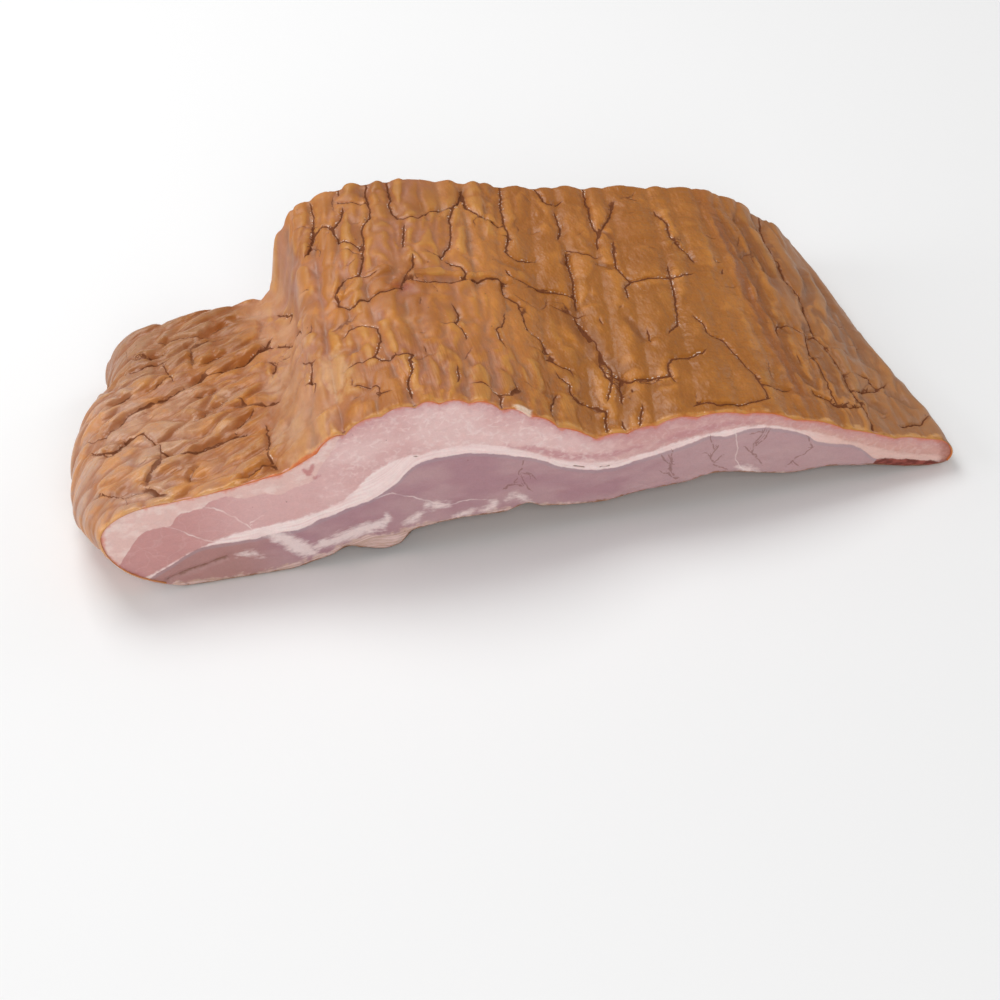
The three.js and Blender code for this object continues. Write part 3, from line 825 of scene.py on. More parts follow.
LESSER_CRACKS = [
    [(35, 70), (37, 59), (39, 53), (39, 47), (40, 40), (41, 35), (39, 27)],
    [(39, 47), (37, 39), (39, 28), (36, 20), (34, 16)],
    [(-128, 76), (-122, 78), (-109, 90), (-101, 91), (-94, 93), (-90, 97), (-83, 102), (-80, 108)],
    [(-157, 22), (-145, 10), (-136, 11), (-133, 7), (-129, 3)], [(-137, 118), (-130, 113), (-123, 113)],
    [(-139, 103), (-134, 104), (-129, 106), (-124, 106)], [(-139, 69), (-137, 71), (-130, 75)],
    [(-100, 63), (-93, 56), (-83, 49)], [(-77, 129), (-75, 124), (-72, 115), (-74, 111)],
    [(-82, 101), (-76, 95), (-72, 71)], [(-43, 162), (-44, 152)], [(-46, 150), (-43, 147), (-33, 143)],
    [(-23, 129), (-15, 129), (-8, 136), (1, 138)], [(-27, 83), (-22, 80), (-11, 82), (-4, 84)],
    [(-2, 85), (5, 87), (12, 88)], [(-54, 87), (-51, 92), (-42, 88), (-36, 90)],
    [(8, 67), (4, 55), (1, 52), (3, 40)],
    [(-58, 51), (-53, 58), (-44, 54), (-44, 44), (-48, 34), (-46, 31), (-41, 33), (-34, 32)],
    [(-59, 21), (-50, 17)], [(-51, 12), (-45, 10)], [(-19, 23), (-20, 15), (-22, 10)],
    [(-17, 12), (-12, 12), (-6, 8), (-2, 10), (1, 14), (2, 21)], [(-6, 8), (-7, 1)],
    [(42, 114), (48, 109), (55, 107)], [(74, 152), (81, 148)], [(19, 44), (23, 39), (26, 38)],
    [(20, 36), (23, 27), (23, 19), (30, 17), (33, 12)], [(43, 32), (41, 22), (40, 14)], [(37, 7), (38, 1)],
    [(45, 22), (45, 19)], [(60, 57), (59, 46)],
    [(80, 64), (83, 57), (83, 51), (88, 47), (91, 34), (94, 26), (95, 17), (95, 10)], [(96, 18), (108, 19)],
    [(100, 105), (104, 104)], [(103, 100), (101, 94)], [(18, 22), (14, 12), (12, 3)],
    [(131, 63), (127, 61), (124, 62), (123, 66), (119, 65), (115, 63), (113, 55)],
    [(126, 60), (124, 51), (125, 39), (125, 29), (124, 22), (125, 14)],
    [(115, 22), (118, 19), (122, 18), (123, 14), (127, 14), (135, 16)],
    [(134, 29), (137, 28), (141, 29), (146, 32), (153, 39)], [(140, 42), (144, 40), (146, 37), (146, 32)],
    [(145, 8), (147, 7), (153, 10), (157, 11), (162, 18)], [(-59, 130), (-56, 131), (-52, 132), (-50, 128)],
    [(-75, 53), (-71, 46), (-68, 47)], [(-71, 46), (-72, 40), (-73, 35)],
]
FINE_CRACKS = [
    [(-130, 35), (-132, 28), (-138, 14)], [(-145, 10), (-145, 3)], [(-138, 130), (-138, 118), (-144, 116)],
    [(-113, 118), (-112, 109), (-114, 99)], [(-123, 106), (-116, 113), (-95, 119)],
    [(-73, 67), (-68, 64), (-67, 72)], [(-73, 26), (-71, 32), (-76, 38)], [(-17, 105), (-11, 98)],
    [(-21, 51), (-14, 52)], [(-48, 33), (-55, 34), (-61, 31)], [(-50, 16), (-51, 8)],
    [(-29, 38), (-29, 30)], [(26, 79), (36, 71), (41, 70)], [(32, 79), (34, 74)], [(49, 24), (57, 23)],
    [(61, 24), (63, 20)], [(26, 38), (26, 31)], [(44, 68), (44, 61)], [(129, 17), (124, 13)],
    [(126, 139), (132, 141)], [(146, 65), (152, 67)], [(117, 46), (117, 36)],
]
# Folds of the wing that overlap like scales, as runs of (x, depth). Each stands up to the left of its run.
SCALES = [
    [(-160, 67), (-155, 59), (-150, 58), (-144, 65), (-140, 70), (-132, 73), (-126, 76), (-120, 80),
     (-115, 84), (-111, 89), (-107, 94), (-103, 98)],
    [(-137, 116), (-131, 112), (-125, 113), (-120, 116)],
    [(-142, 106), (-138, 103), (-131, 105), (-124, 107)], [(-127, 123), (-117, 123), (-105, 121)],
    [(-114, 117), (-111, 113), (-107, 116), (-102, 119)], [(-116, 73), (-109, 73), (-104, 76)],
    [(-110, 63), (-105, 62), (-101, 67)], [(-118, 54), (-113, 55), (-110, 61)],
    [(-102, 40), (-98, 46), (-94, 50), (-93, 55)], [(-102, 60), (-93, 57), (-84, 49)],
    [(-102, 90), (-94, 93), (-89, 98), (-84, 102), (-79, 110)],
    [(-124, 31), (-116, 33), (-106, 36), (-99, 38)], [(-107, 4), (-99, 6), (-91, 9)],
    [(-93, 18), (-92, 11), (-90, 3)], [(-122, 9), (-121, 16), (-116, 23)],
    [(-157, 52), (-152, 45), (-148, 43), (-143, 50), (-135, 54)], [(-138, 12), (-134, 22), (-128, 33)],
    [(-159, 22), (-152, 17), (-147, 12)], [(-145, 13), (-137, 10), (-129, 2)],
    [(-113, 96), (-112, 104), (-113, 113)], [(-84, 73), (-82, 82), (-84, 90)],
    [(-110, 98), (-104, 102), (-98, 104)], [(-149, 92), (-143, 104)], [(-105, 123), (-98, 129), (-92, 129)],
    [(-134, 84), (-127, 88), (-121, 95)], [(-150, 76), (-143, 82), (-136, 86)],
]
DEEP, LESSER, FINE, HAIRLINE = 1.0, 0.7, 0.45, 0.32  # strength of each kind of crack
SCALE_CRACK = 0.5  # strength of the crack under a scale
WING_CRACKS = 0.7  # strength of the wing's cracks for 1 elsewhere
CRACK_STEP = 0.25  # spacing of the places taken along a crack
ROUNDING = 9  # how many of those places a corner of a crack is rounded over
MEANDER, MEANDER_LENGTH = 0.55, 3.5  # how far a crack strays sideways, and over what length
TAPER, END_STRENGTH = 4, 0.15  # length over which a crack dies out at each end, and what is left of it
STRAYS, STRAY_LENGTH, STRAY_STEP = 95, (5, 16), 3  # hairline cracks that wander off between the others
RIND_SEED = 11
rng = np.random.default_rng(RIND_SEED)


def crack_samples(run, strength, start_joined=False, end_joined=False):
    """Places along a crack, its strength there and its heading. It dies out at each end that is free."""
    places = np.array(run, float)
    lengths = np.concatenate([[0], np.cumsum(np.linalg.norm(np.diff(places, axis=0), axis=1))])
    stations = np.arange(0, lengths[-1] + CRACK_STEP / 2, CRACK_STEP)
    kernel = np.hanning(ROUNDING + 2)[1:-1]
    rounded = []
    for axis in (0, 1):
        padded = np.pad(np.interp(stations, lengths, places[:, axis]), ROUNDING // 2, mode="edge")
        rounded.append(np.convolve(padded, kernel / kernel.sum(), "valid"))
    line = np.column_stack(rounded)
    ahead = unit(np.gradient(line, axis=0))
    stray = MEANDER * clouds(stations / MEANDER_LENGTH, rng.uniform(0, 100), 0.0, 3)
    line = line + np.column_stack([-ahead[:, 1], ahead[:, 0]]) * stray[:, None]
    ahead = unit(np.gradient(line, axis=0))
    to_end = np.minimum(stations + TAPER * start_joined, lengths[-1] - stations + TAPER * end_joined)
    patchy = 0.95 + 0.4 * clouds(line[:, 0] / 9, line[:, 1] / 9, strength * 9, 2)
    fade = mix(END_STRENGTH, 1, ease(to_end / min(TAPER, lengths[-1] / 2)))
    return np.column_stack([line, strength * np.clip(patchy, 0.6, 1) * fade, ahead])


def stray_run():
    """A hairline crack that wanders, mostly along the folds."""
    x, depth = rng.uniform(-150, 148), rng.uniform(4, 150)
    heading = rng.normal(np.pi / 2, 0.35) if rng.random() < 0.6 else rng.normal(0.2, 0.4)
    if x < WING_INNER_X:
        heading = rng.normal(0.6, 0.45)
    run = [(x, depth)]
    for _ in range(int(rng.uniform(*STRAY_LENGTH) / STRAY_STEP)):
        heading += rng.normal(0, 0.35)
        x, depth = x + STRAY_STEP * np.cos(heading), depth + STRAY_STEP * np.sin(heading)
        run.append((x, depth))
    return run


# A crack that meets another, or that runs off an edge of the rind, keeps its width to the end.
JOIN_REACH, NEAR_RIM, NEAR_FAR_EDGE = 2.5, 3, 155
mapped = DEEP_CRACKS + LESSER_CRACKS + FINE_CRACKS
ends = np.array([(run[0], run[-1]) for run in mapped], float)
to_others = np.array([beside(ends[..., 0], ends[..., 1], run)[0] for run in mapped])
own = np.arange(len(mapped))
to_others[own, own] = np.inf
joined = (to_others.min(0) < JOIN_REACH) | (ends[..., 1] < NEAR_RIM) | (ends[..., 1] > NEAR_FAR_EDGE)
strengths = [DEEP] * len(DEEP_CRACKS) + [LESSER] * len(LESSER_CRACKS) + [FINE] * len(FINE_CRACKS)
samples = [crack_samples(run, how, *met) for run, how, met in zip(mapped, strengths, joined.tolist())]
samples += [crack_samples(run, SCALE_CRACK) for run in SCALES]
samples += [crack_samples(stray_run(), HAIRLINE) for _ in range(STRAYS)]
samples = np.concatenate(samples)
samples[:, 2] *= mix(WING_CRACKS, 1, rising(samples[:, 0], -96, -88))
sample_share = np.clip(samples[:, 1] / curve(FAR_EDGE, samples[:, 0]), 0, far_share)
sample_places, _ = rind_surface(samples[:, 0], sample_share)
cracks = kdtree.KDTree(len(samples))
for index, place in enumerate(sample_places.tolist()):
    cracks.insert(place, index)
cracks.balance()


def nearest_crack(places):
    """Distance from each place to the nearest crack, and which sample of it that is."""
    found = [cracks.find(place) for place in places.reshape(-1, 3).tolist()]
    gaps = np.array([gap for _, _, gap in found]).reshape(places.shape[:-1])
    return gaps, np.array([index for _, index, _ in found]).reshape(places.shape[:-1])


# Vertices close to a crack are drawn in onto it, so that its lips and floor are crisp.
PULL_ALL, PULL_NONE, PULL_MOST = 0.4, 1.3, 0.9
FIRST_ROW_DEPTH = 0.25
gap, nearest = nearest_crack(base)
toward = np.clip((PULL_NONE - gap) / (PULL_NONE - PULL_ALL), 0, PULL_MOST) * on_top
rind_x = rind_x + (samples[nearest, 0] - rind_x) * toward
share = share + (sample_share[nearest] - share) * toward * (share > 0)
share = np.where(share > 0, np.maximum(share, FIRST_ROW_DEPTH / DEPTH), 0)
base, full = rind_surface(rind_x, share, under)
gap, nearest = nearest_crack(base)
strength = samples[nearest, 2]
depth = base[..., 1] - CUT_Y
off_x, off_depth = rind_x - samples[nearest, 0], depth - samples[nearest, 1]
onward_x, onward_depth = samples[nearest, 3], samples[nearest, 4]
along_crack = np.minimum(abs(onward_x * off_x + onward_depth * off_depth), CRACK_STEP * 0.6)
crack_side = np.sign(onward_x * off_depth - onward_depth * off_x)
crack_side = crack_side * np.sqrt(np.clip(gap**2 - along_crack**2, 0, None))

# The skin has dried into long pillows with soft creases between them. They run from the cut to
# the far edge on the hump, long and narrow at the right, and slantwise on the wing. Their widths
# and lengths are given as (x, size).
FOLD_WIDTHS = [
    (-92, 8), (-68, 7.5), (-56, 8), (-20, 8.5), (20, 10), (60, 14), (95, 11), (106, 6.5), (166, 5.5),
]
FOLD_LENGTHS = [(-90, 17), (-60, 20), (-40, 30), (40, 32), (100, 60), (166, 50)]
WING_SLANT = np.radians(33)
WING_FOLD_WIDTH, WING_FOLD_LENGTH = 10, 24
HUMP_FOLDS, MIDDLE_FOLDS, SCALE_FOLDS = 0.66, 0.34, 1.2  # strength of the folds, the last on the wing
BEND, BEND_SIZE = 5, 45  # how far the folds bend, and over what length
SWERVE, SWERVE_WIDTH, SWERVE_LENGTH = 1.6, 9, 14  # the same for small swerves
CREASE_WIDTH, SHOULDER = 0.2, 0.25  # reach of a crease and of the slope beside it, in pillows
MOST_PROUD = 1.2  # what a pillow's height is held to, where 1 is usual
# Hollows between folds, by their half width, as runs of (x, depth).
HOLLOWS = {
    1.4: [
        [(-43, 29), (-43, 22), (-45, 17)], [(-24, 26), (-25, 17), (-28, 6)],
        [(-32, 16), (-34, 7), (-34, 2)], [(-18, 10), (-20, 3)], [(-12, 32), (-14, 23), (-17, 15)],
        [(3, 33), (3, 23), (2, 15)], [(9, 36), (9, 27), (7, 13)], [(-41, 64), (-42, 56)],
        [(-10, 134), (-11, 126)], [(15, 143), (15, 136)], [(11, 134), (10, 125), (9, 115)],
        [(2, 115), (2, 107), (-1, 99)], [(-27, 154), (-28, 145), (-29, 138)],
        [(-58, 131), (-61, 121), (-64, 119)], [(-57, 73), (-64, 58)], [(-50, 50), (-54, 43), (-59, 40)],
        [(10, 105), (17, 102), (22, 100)], [(-32, 87), (-36, 81)], [(-37, 102), (-37, 94)],
        [(-1, 47), (-2, 38)], [(10, 15), (17, 19), (13, 4)], [(38, 104), (43, 112)], [(51, 104), (58, 98)],
        [(60, 126), (63, 118)], [(-68, 150), (-69, 138), (-67, 118)],
    ],
    2.1: [
        [(-17, 49), (-19, 40), (-19, 34)], [(-4, 82), (-6, 70), (-7, 59), (-9, 47), (-10, 42)],
        [(-28, 57), (-27, 48), (-27, 40)], [(-32, 69), (-32, 60), (-33, 52)],
        [(-18, 127), (-18, 118), (-20, 108)], [(-57, 113), (-61, 105), (-63, 93), (-67, 82), (-70, 77)],
        [(53, 68), (56, 58), (58, 47)],
        [(109, 152), (111, 139), (112, 105), (109, 86), (110, 60), (110, 44), (111, 33), (110, 16),
         (110, 3)],
        [(112, 147), (115, 111), (114, 58)], [(118, 69), (115, 58), (113, 33), (117, 26), (123, 21)],
        [(128, 53), (128, 31), (129, 17)], [(130, 74), (127, 57), (126, 42)],
        [(138, 88), (140, 76), (144, 61)],
        [(149, 128), (148, 111), (150, 89), (150, 68), (149, 54), (155, 41)],
        [(136, 27), (140, 21), (145, 15)], [(148, 34), (155, 28), (158, 19)],
        [(121, 153), (123, 132), (124, 107), (123, 85)], [(130, 154), (132, 137), (133, 120)],
        [(150, 106), (147, 90), (147, 77), (145, 61), (142, 46)],
        [(137, 117), (143, 118), (141, 103), (134, 86)], [(-65, 112), (-57, 125)],
    ],
    4.5: [[(33, 86), (35, 64), (39, 46), (41, 29), (39, 14)]],
}
HOLLOW_DEPTH = 0.85
SCALE_HEIGHT, SCALE_BACK, SCALE_ROUND = 1.6, 8.0, 2.8  # how high a scale's edge is, its fall and its round
SCALE_DIP, SCALE_FOOT = 0.25, 1.6  # the dip before the edge, as a share of its height, and the dip's reach
SCALE_STRAY = 0.35  # how far a scale strays from its run, where 1 is a hollow's stray


def pillows(across, along, layer, lean):
    """For places measured in pillows: 0 at the creases and more inside, and how far each pillow stands up.
    A pillow leans, so that it stands up more to one side."""
    heights, owners = np.empty(across.size), np.empty(across.size)
    places = np.column_stack([across.ravel(), along.ravel(), np.full(across.size, layer)]).tolist()
    for k, place in enumerate(places):
        distances, centres = noise.voronoi(place)
        heights[k] = distances[1] - distances[0]
        owners[k] = noise.cell(centres[0] * 7.0) + lean * (place[0] - centres[0].x)
    return heights.reshape(across.shape), owners.reshape(across.shape)


def die_out(passed, taper):
    """1 along a run and 0 at both ends, over a share of its length."""
    return ease(passed / taper) * ease((1 - passed) / taper)


def softened(values, reach):
    """Values at the vertices, smoothed over so many of them each way."""
    kernel = np.hanning(2 * reach + 3)[1:-1]
    for axis in (0, 1):
        padding = [(reach, reach) if side == axis else (0, 0) for side in (0, 1)]
        padded = np.pad(values, padding, mode="edge")
        values = np.apply_along_axis(np.convolve, axis, padded, kernel / kernel.sum(), "valid")
    return values


fold_places = np.linspace(-170, 170, SAMPLES)
fold_counts = np.cumsum(1 / curve(FOLD_WIDTHS, fold_places)) * (fold_places[1] - fold_places[0])
on_wing = 1 - rising(rind_x, -94, -76)
bend = BEND * clouds(rind_x / BEND_SIZE, depth / BEND_SIZE, 1.0, 2)
swerve = SWERVE * clouds(rind_x / SWERVE_WIDTH, depth / SWERVE_LENGTH, 4.0, 2)
folds_across = np.interp(rind_x + bend + swerve - 0.1 * depth, fold_places, fold_counts)
hump_edge, hump_owner = pillows(folds_across, depth / curve(FOLD_LENGTHS, rind_x) + bend / 20, 2.5, 0.6)
slant_across = depth * np.cos(WING_SLANT) - rind_x * np.sin(WING_SLANT) + bend + swerve
slant_along = rind_x * np.cos(WING_SLANT) + depth * np.sin(WING_SLANT) + bend
wing_edge, wing_owner = pillows(slant_across / WING_FOLD_WIDTH, slant_along / WING_FOLD_LENGTH, 6.5, -1.8)
edge, owner = mix(hump_edge, wing_edge, on_wing), mix(hump_owner, wing_owner, on_wing)
smooth_middle = rising(rind_x, 15, 45) * (1 - rising(rind_x, 92, 106))
fold_size = mix(mix(HUMP_FOLDS, MIDDLE_FOLDS, smooth_middle), SCALE_FOLDS, on_wing)
crease = np.exp(-((edge / CREASE_WIDTH) ** 2))
stands_up = np.clip(owner, -MOST_PROUD, MOST_PROUD)
offset = (stands_up - 0.1) * np.clip(edge / SHOULDER, 0, 1)
dimples = clouds(rind_x / 7, depth / 10, 20.0, 2)

stray_across, stray_along = (clouds(rind_x / 7, depth / 7, seed, 2) for seed in (30.0, 31.0))
hollow, scales = np.zeros((2, *rind_x.shape))
for half_width, runs in HOLLOWS.items():
    for run in runs:
        to_run, _, _, passed = beside(rind_x + stray_across, depth + stray_along, run)
        hollow = np.maximum(hollow, die_out(passed, 0.2) * np.exp(-((to_run / half_width) ** 2)))
hollow = hollow * (1 + 0.6 * rising(rind_x, 96, 106))
scale_x, scale_depth = rind_x + SCALE_STRAY * stray_across, depth + SCALE_STRAY * stray_along
for run in SCALES:
    to_run, side, _, passed = beside(scale_x, scale_depth, run)
    lip = (1 + SCALE_DIP) * np.exp(-to_run / SCALE_BACK)
    lip = lip * np.sin(np.pi / 2 * np.clip(to_run / SCALE_ROUND, 0, 1)) * (side > 0)
    scales = scales + die_out(passed, 0.25) * (lip - SCALE_DIP * np.exp(-to_run / SCALE_FOOT))
scales = np.clip(scales, -0.5, 1.2)  # scales that cross don't pile up

# Two short ridges and a bent one lie across the hump, pushed up where the skin was drawn together.
RIDGES = [[(-25, 85), (-20, 86), (-12, 87), (-6, 87.5)], [(-1, 88), (6, 89), (13, 90)],
          [(-54, 80), (-48, 82), (-41, 88), (-34, 91)]]
RIDGE_WIDTH, RIDGE_HEIGHT = 2.7, 1.5
ridge_gap = nearest_stretch(rind_x.ravel(), depth.ravel(), RIDGES)[0].reshape(rind_x.shape)
ridge = RIDGE_HEIGHT * np.sqrt(np.clip(1 - (ridge_gap / RIDGE_WIDTH) ** 2, 0, 1))

# Wax of the smoke lies pale on the foot of the hump, and drippings dried in a dark spot on top of it.
WAX_PLACE, WAX_REACH = (-63, 33), (6, 15)
STAIN_PLACE, STAIN_REACH, STAIN_AMOUNT = (-30, 79), (8, 5), 0.75

# The skin dips towards each crack, most at the far edge and at the right, and the crack is a groove in it.
CREASE_DEPTH, WING_CREASE_DEPTH = 1.15, 1.0
PILLOW_STEP, WING_PILLOW_STEP = 0.5, 0.45
DIP, MIDDLE_DIP, WING_DIP, DIP_REACH = 0.8, 0.6, 0.35, 2.1
LEAST_GROOVE, GROOVE_DEPTH = 0.1, 0.5  # depth of the faintest crack, and what a crack of strength 1 adds
LEAST_REACH, GROOVE_REACHES = 0.3, 0.35  # the same for half its width
RIM_ROUND, RIM_REACH = 0.75, 1.9  # how far the rim at the cut is rounded off
THINNEST = 0.25  # what a crack leaves of the rind
STEEP_LOWEST = 1.8  # deepest that a groove may be on the steep flank and at the far edge
PROUDEST, WING_PROUDEST = 0.5, 1.6  # how far the rind may stand out over the slab's smooth outline

long_sink = long_relief(rind_x, share)
crease_depth = mix(CREASE_DEPTH, WING_CREASE_DEPTH, on_wing) * fold_size
pillow_step = mix(PILLOW_STEP, WING_PILLOW_STEP, on_wing) * fold_size
valley = long_sink * (0.8 + 0.3 * dimples) + crease_depth * crease - pillow_step * offset
valley = valley + HOLLOW_DEPTH * hollow - SCALE_HEIGHT * scales + 0.2 * abs(dimples)
dip = mix(mix(DIP, MIDDLE_DIP, smooth_middle), WING_DIP, on_wing) * strength * np.exp(-gap / DIP_REACH)
dip = dip * (1 + 1.2 * rising(depth, 128, 153)) * (1 + 0.9 * rising(rind_x, 102, 114))
groove_reach = LEAST_REACH + GROOVE_REACHES * strength
groove = (LEAST_GROOVE + GROOVE_DEPTH * strength) * (1 - ease(gap / groove_reach)) * ease(0.3 + depth / 2)
rim_round = RIM_ROUND * (1 - quarter_round(depth, RIM_REACH))
to_nose = rind_x - curve(LEFT_END, depth)
edge_fade = np.maximum(np.clip(full, 0, 1) ** 0.5, 0.75 * (1 - rising(to_nose, 20, 30)))
sunk = (valley + dip - ridge) * edge_fade + groove + rim_round
thickness = rind_thickness(depth)
lowest = long_sink * full + thickness - THINNEST
end_start = far_share * 0.93
steep = np.maximum(1 - rising(abs(normal[..., 2]), 0.2, 0.45), rising(share, end_start, end_start + 0.04))
lowest = mix(lowest, np.minimum(lowest, STEEP_LOWEST), steep)
well_in = rising(curve(FAR_EDGE, rind_x) - depth, 10, 35) * rising(to_nose, 6, 20)
sunk = np.clip(sunk, -mix(PROUDEST, WING_PROUDEST, on_wing * well_in), lowest)
outer = base - normal * sunk[..., None]

# How far each place stands proud of the skin round it, and how much it is turned to the front right; the
# finish paints shade and highlight from these.
ROUND_IT = 6  # how many vertices each way count as the skin round a place
proud = softened(sunk, ROUND_IT) - sunk
raised = -softened(sunk, 1)
slope_depth, slope_x = (
    np.gradient(raised, axis=way) / np.linalg.norm(np.gradient(base, axis=way), axis=-1) for way in (0, 1)
)
facing = slope_depth * np.cos(WING_SLANT) - slope_x * np.sin(WING_SLANT)

inner = base - normal * (long_sink * full + thickness)[..., None]
outer[0, :, 1] = inner[0, :, 1] = CUT_Y
places = np.where(inner_side[:, None], inner[row, column], outer[row, column])
places[:, 0] = np.clip(places[:, 0], slab_low[0], slab_high[0])
places[:, 1] = np.clip(places[:, 1], CUT_Y, None)
places[:, 2] = np.clip(places[:, 2], 0.02, slab_high[2])
place_vertices(rind.data, places)
to_stain = np.hypot((rind_x - STAIN_PLACE[0]) / STAIN_REACH[0], (depth - STAIN_PLACE[1]) / STAIN_REACH[1])
for name, values in {
    "crack_gap": gap,
    "crack_side": crack_side,
    "crack_strength": strength,
    "valley": (valley - ridge) * edge_fade,
    "pillow": stands_up,
    "hollow": hollow + 0.6 * crease * fold_size,  # creases count as faint hollows
    "proud": proud,
    "facing": facing,
    "cut_gap": depth,
    "smoke_stain": STAIN_AMOUNT * (1 - ease(to_stain - 0.3 * dimples)),
}.items():
    paint(rind.data, name, values[row, column])
paint(rind.data, "inner_side", inner_side)

# The hidden inner side needs few faces.
INNER_SIDE_KEPT = 0.05
deep_inside = inner_side & (row > 1) & (row < RIND_ROWS - 1) & (column > 1) & (column < RIND_COLUMNS - 1)
close_and_thin(rind, deep_inside, INNER_SIDE_KEPT)

OCHRE = tone(184, 115, 48)
DARK_OCHRE = tone(160, 94, 34)
DEEP_OCHRE = tone(148, 88, 16)
ORANGE = tone(208, 134, 52)
YELLOW_OCHRE = tone(204, 146, 66)
PALE_TAN_AND_SHEEN = tone(200, 158, 126)
GREY_TAN = tone(146, 106, 78)
FAR_SHADE_TAN = tone(138, 88, 44)
PAINTED_SHADE_BROWN = tone(152, 84, 34)
HOLLOW_SHADE_BROWN = tone(122, 68, 26)
STAIN_RED = tone(140, 56, 26)
CRACK_BROWN = tone(104, 52, 18)
PORE_BROWN = tone(96, 58, 34)
LOW_SHADE_TAN = tone(170, 116, 108)
WAXY = tone(216, 172, 120)
PALE_GREY_AND_SHEEN = tone(178, 154, 148)
RIM_HIGHLIGHT_GOLD = tone(226, 166, 94)
RIM_RED = tone(206, 96, 46)
NOSE_RIM = tone(178, 104, 62)
DRY_STREAK = tone(206, 168, 134)
# White of fat, for the patch on the rim; the same colour serves for the painted glints on the crack lips.
WHITE_FAT_AND_GLINT = tone(236, 214, 196)

finish = Finish("smoked pork rind")
x_mm = finish.along_x()
gap_mm = finish.painted("crack_gap")
crack_strength = finish.painted("crack_strength")
cut_gap = finish.painted("cut_gap")
hollow_mm = finish.painted("hollow")
proud_mm, facing = finish.painted("proud"), finish.painted("facing")
sunken_mm, facing_back = (finish.math("MULTIPLY", value, -1.0) for value in (proud_mm, facing))
# Painted shade for hollows: grey, and browner at the right.
hollow_shade_tone = finish.coated(GREY_TAN, (HOLLOW_SHADE_BROWN, finish.rise(x_mm, 92, 108)))
blotches = finish.mottle((9, 16, 12), 3, 0.6)
wing_mottle = finish.mottle((15, 17, 14), 3, 0.6)

# Stretches along the cut: the wing alone, the wing with the foot of the hump, and all from the middle on.
over_wing = finish.fall(x_mm, -97, -83)
up_to_hump = finish.fall(x_mm, -92, -78)
over_middle = finish.rise(x_mm, 6, 36)
LONG_VALLEY_X, LONG_VALLEY_WIDTH = 109, 6
to_long_valley = finish.math("ABSOLUTE", finish.math("SUBTRACT", x_mm, LONG_VALLEY_X))

wax_x = finish.math("DIVIDE", finish.math("SUBTRACT", x_mm, WAX_PLACE[0]), WAX_REACH[0])
wax_depth = finish.math("DIVIDE", finish.math("SUBTRACT", cut_gap, WAX_PLACE[1]), WAX_REACH[1])
wax_edge = finish.spread(finish.mottle((5, 7, 5), 3, 0.6), -0.9, 0.9)
wax_gap = finish.total((wax_x, wax_x), (wax_depth, wax_depth), (wax_edge,))

# A crack is a dark line with a stain beside it, and the glints of light on its lips are painted on as pale
# flecks.
crack_width = finish.math("MULTIPLY_ADD", crack_strength, 0.34, 0.14)
crack_width = finish.times(crack_width, finish.spared(over_wing, 0.25))
to_line = finish.math("ABSOLUTE", finish.painted("crack_side"))
line = finish.times(
    finish.fall(finish.math("DIVIDE", to_line, crack_width), 0.5, 1.3),
    finish.fall(gap_mm, 0.8, 1.3),
    finish.rise(crack_strength, 0.05, 0.45),
)
# Painted highlight: pale glints along the lips of the stronger cracks.
painted_glint = finish.times(
    finish.rise(to_line, 0.35, 0.5),
    finish.fall(to_line, 0.6, 0.9),
    finish.rise(crack_strength, 0.4, 0.7),
    finish.rise(finish.mottle((0.9, 0.9, 0.9), 1), 0.55, 0.63),
    finish.rise(finish.mottle((12, 12, 12), 1), 0.46, 0.56),
    finish.fall(x_mm, 108, 132),
)
pores = finish.fall(finish.cells((5.5, 7, 5.5), 0.0, "F1"), 0.035, 0.07)

# The rim at the cut is painted golden above, as a highlight on its rounded edge, and is red below, where it
# meets the meat, and holds a patch of fat.
rim_noise = finish.spread(finish.mottle((7, 7, 7), 3, 0.6), -1.8, 1.8)
near_rim = finish.fall(finish.math("ADD", cut_gap, rim_noise), 0.0, 2.2)
thick = finish.math("MULTIPLY_ADD", rim_noise, 0.12, finish.painted("inner_side"))
red_stretch = finish.times(finish.rise(x_mm, -112, -98), finish.fall(x_mm, -74, -60))
faint_stretch = finish.times(finish.rise(x_mm, -46, -20), finish.fall(x_mm, 112, 140), 0.6)
red_stretch = finish.math("MAXIMUM", red_stretch, faint_stretch)
red_reach = finish.fall(finish.math("MULTIPLY_ADD", rim_noise, 0.5, cut_gap), 0.4, 2.2)
red_line = finish.rise(finish.total((thick,), (red_stretch, red_reach, 0.6)), 0.2, 0.7)
rim_red = finish.coated(RIM_RED, (NOSE_RIM, finish.fall(x_mm, -142, -118)))
FAT_PATCH_X = 0.5
off_patch = finish.math("ABSOLUTE", finish.math("SUBTRACT", x_mm, FAT_PATCH_X))
off_patch = finish.math("ADD", off_patch, rim_noise)

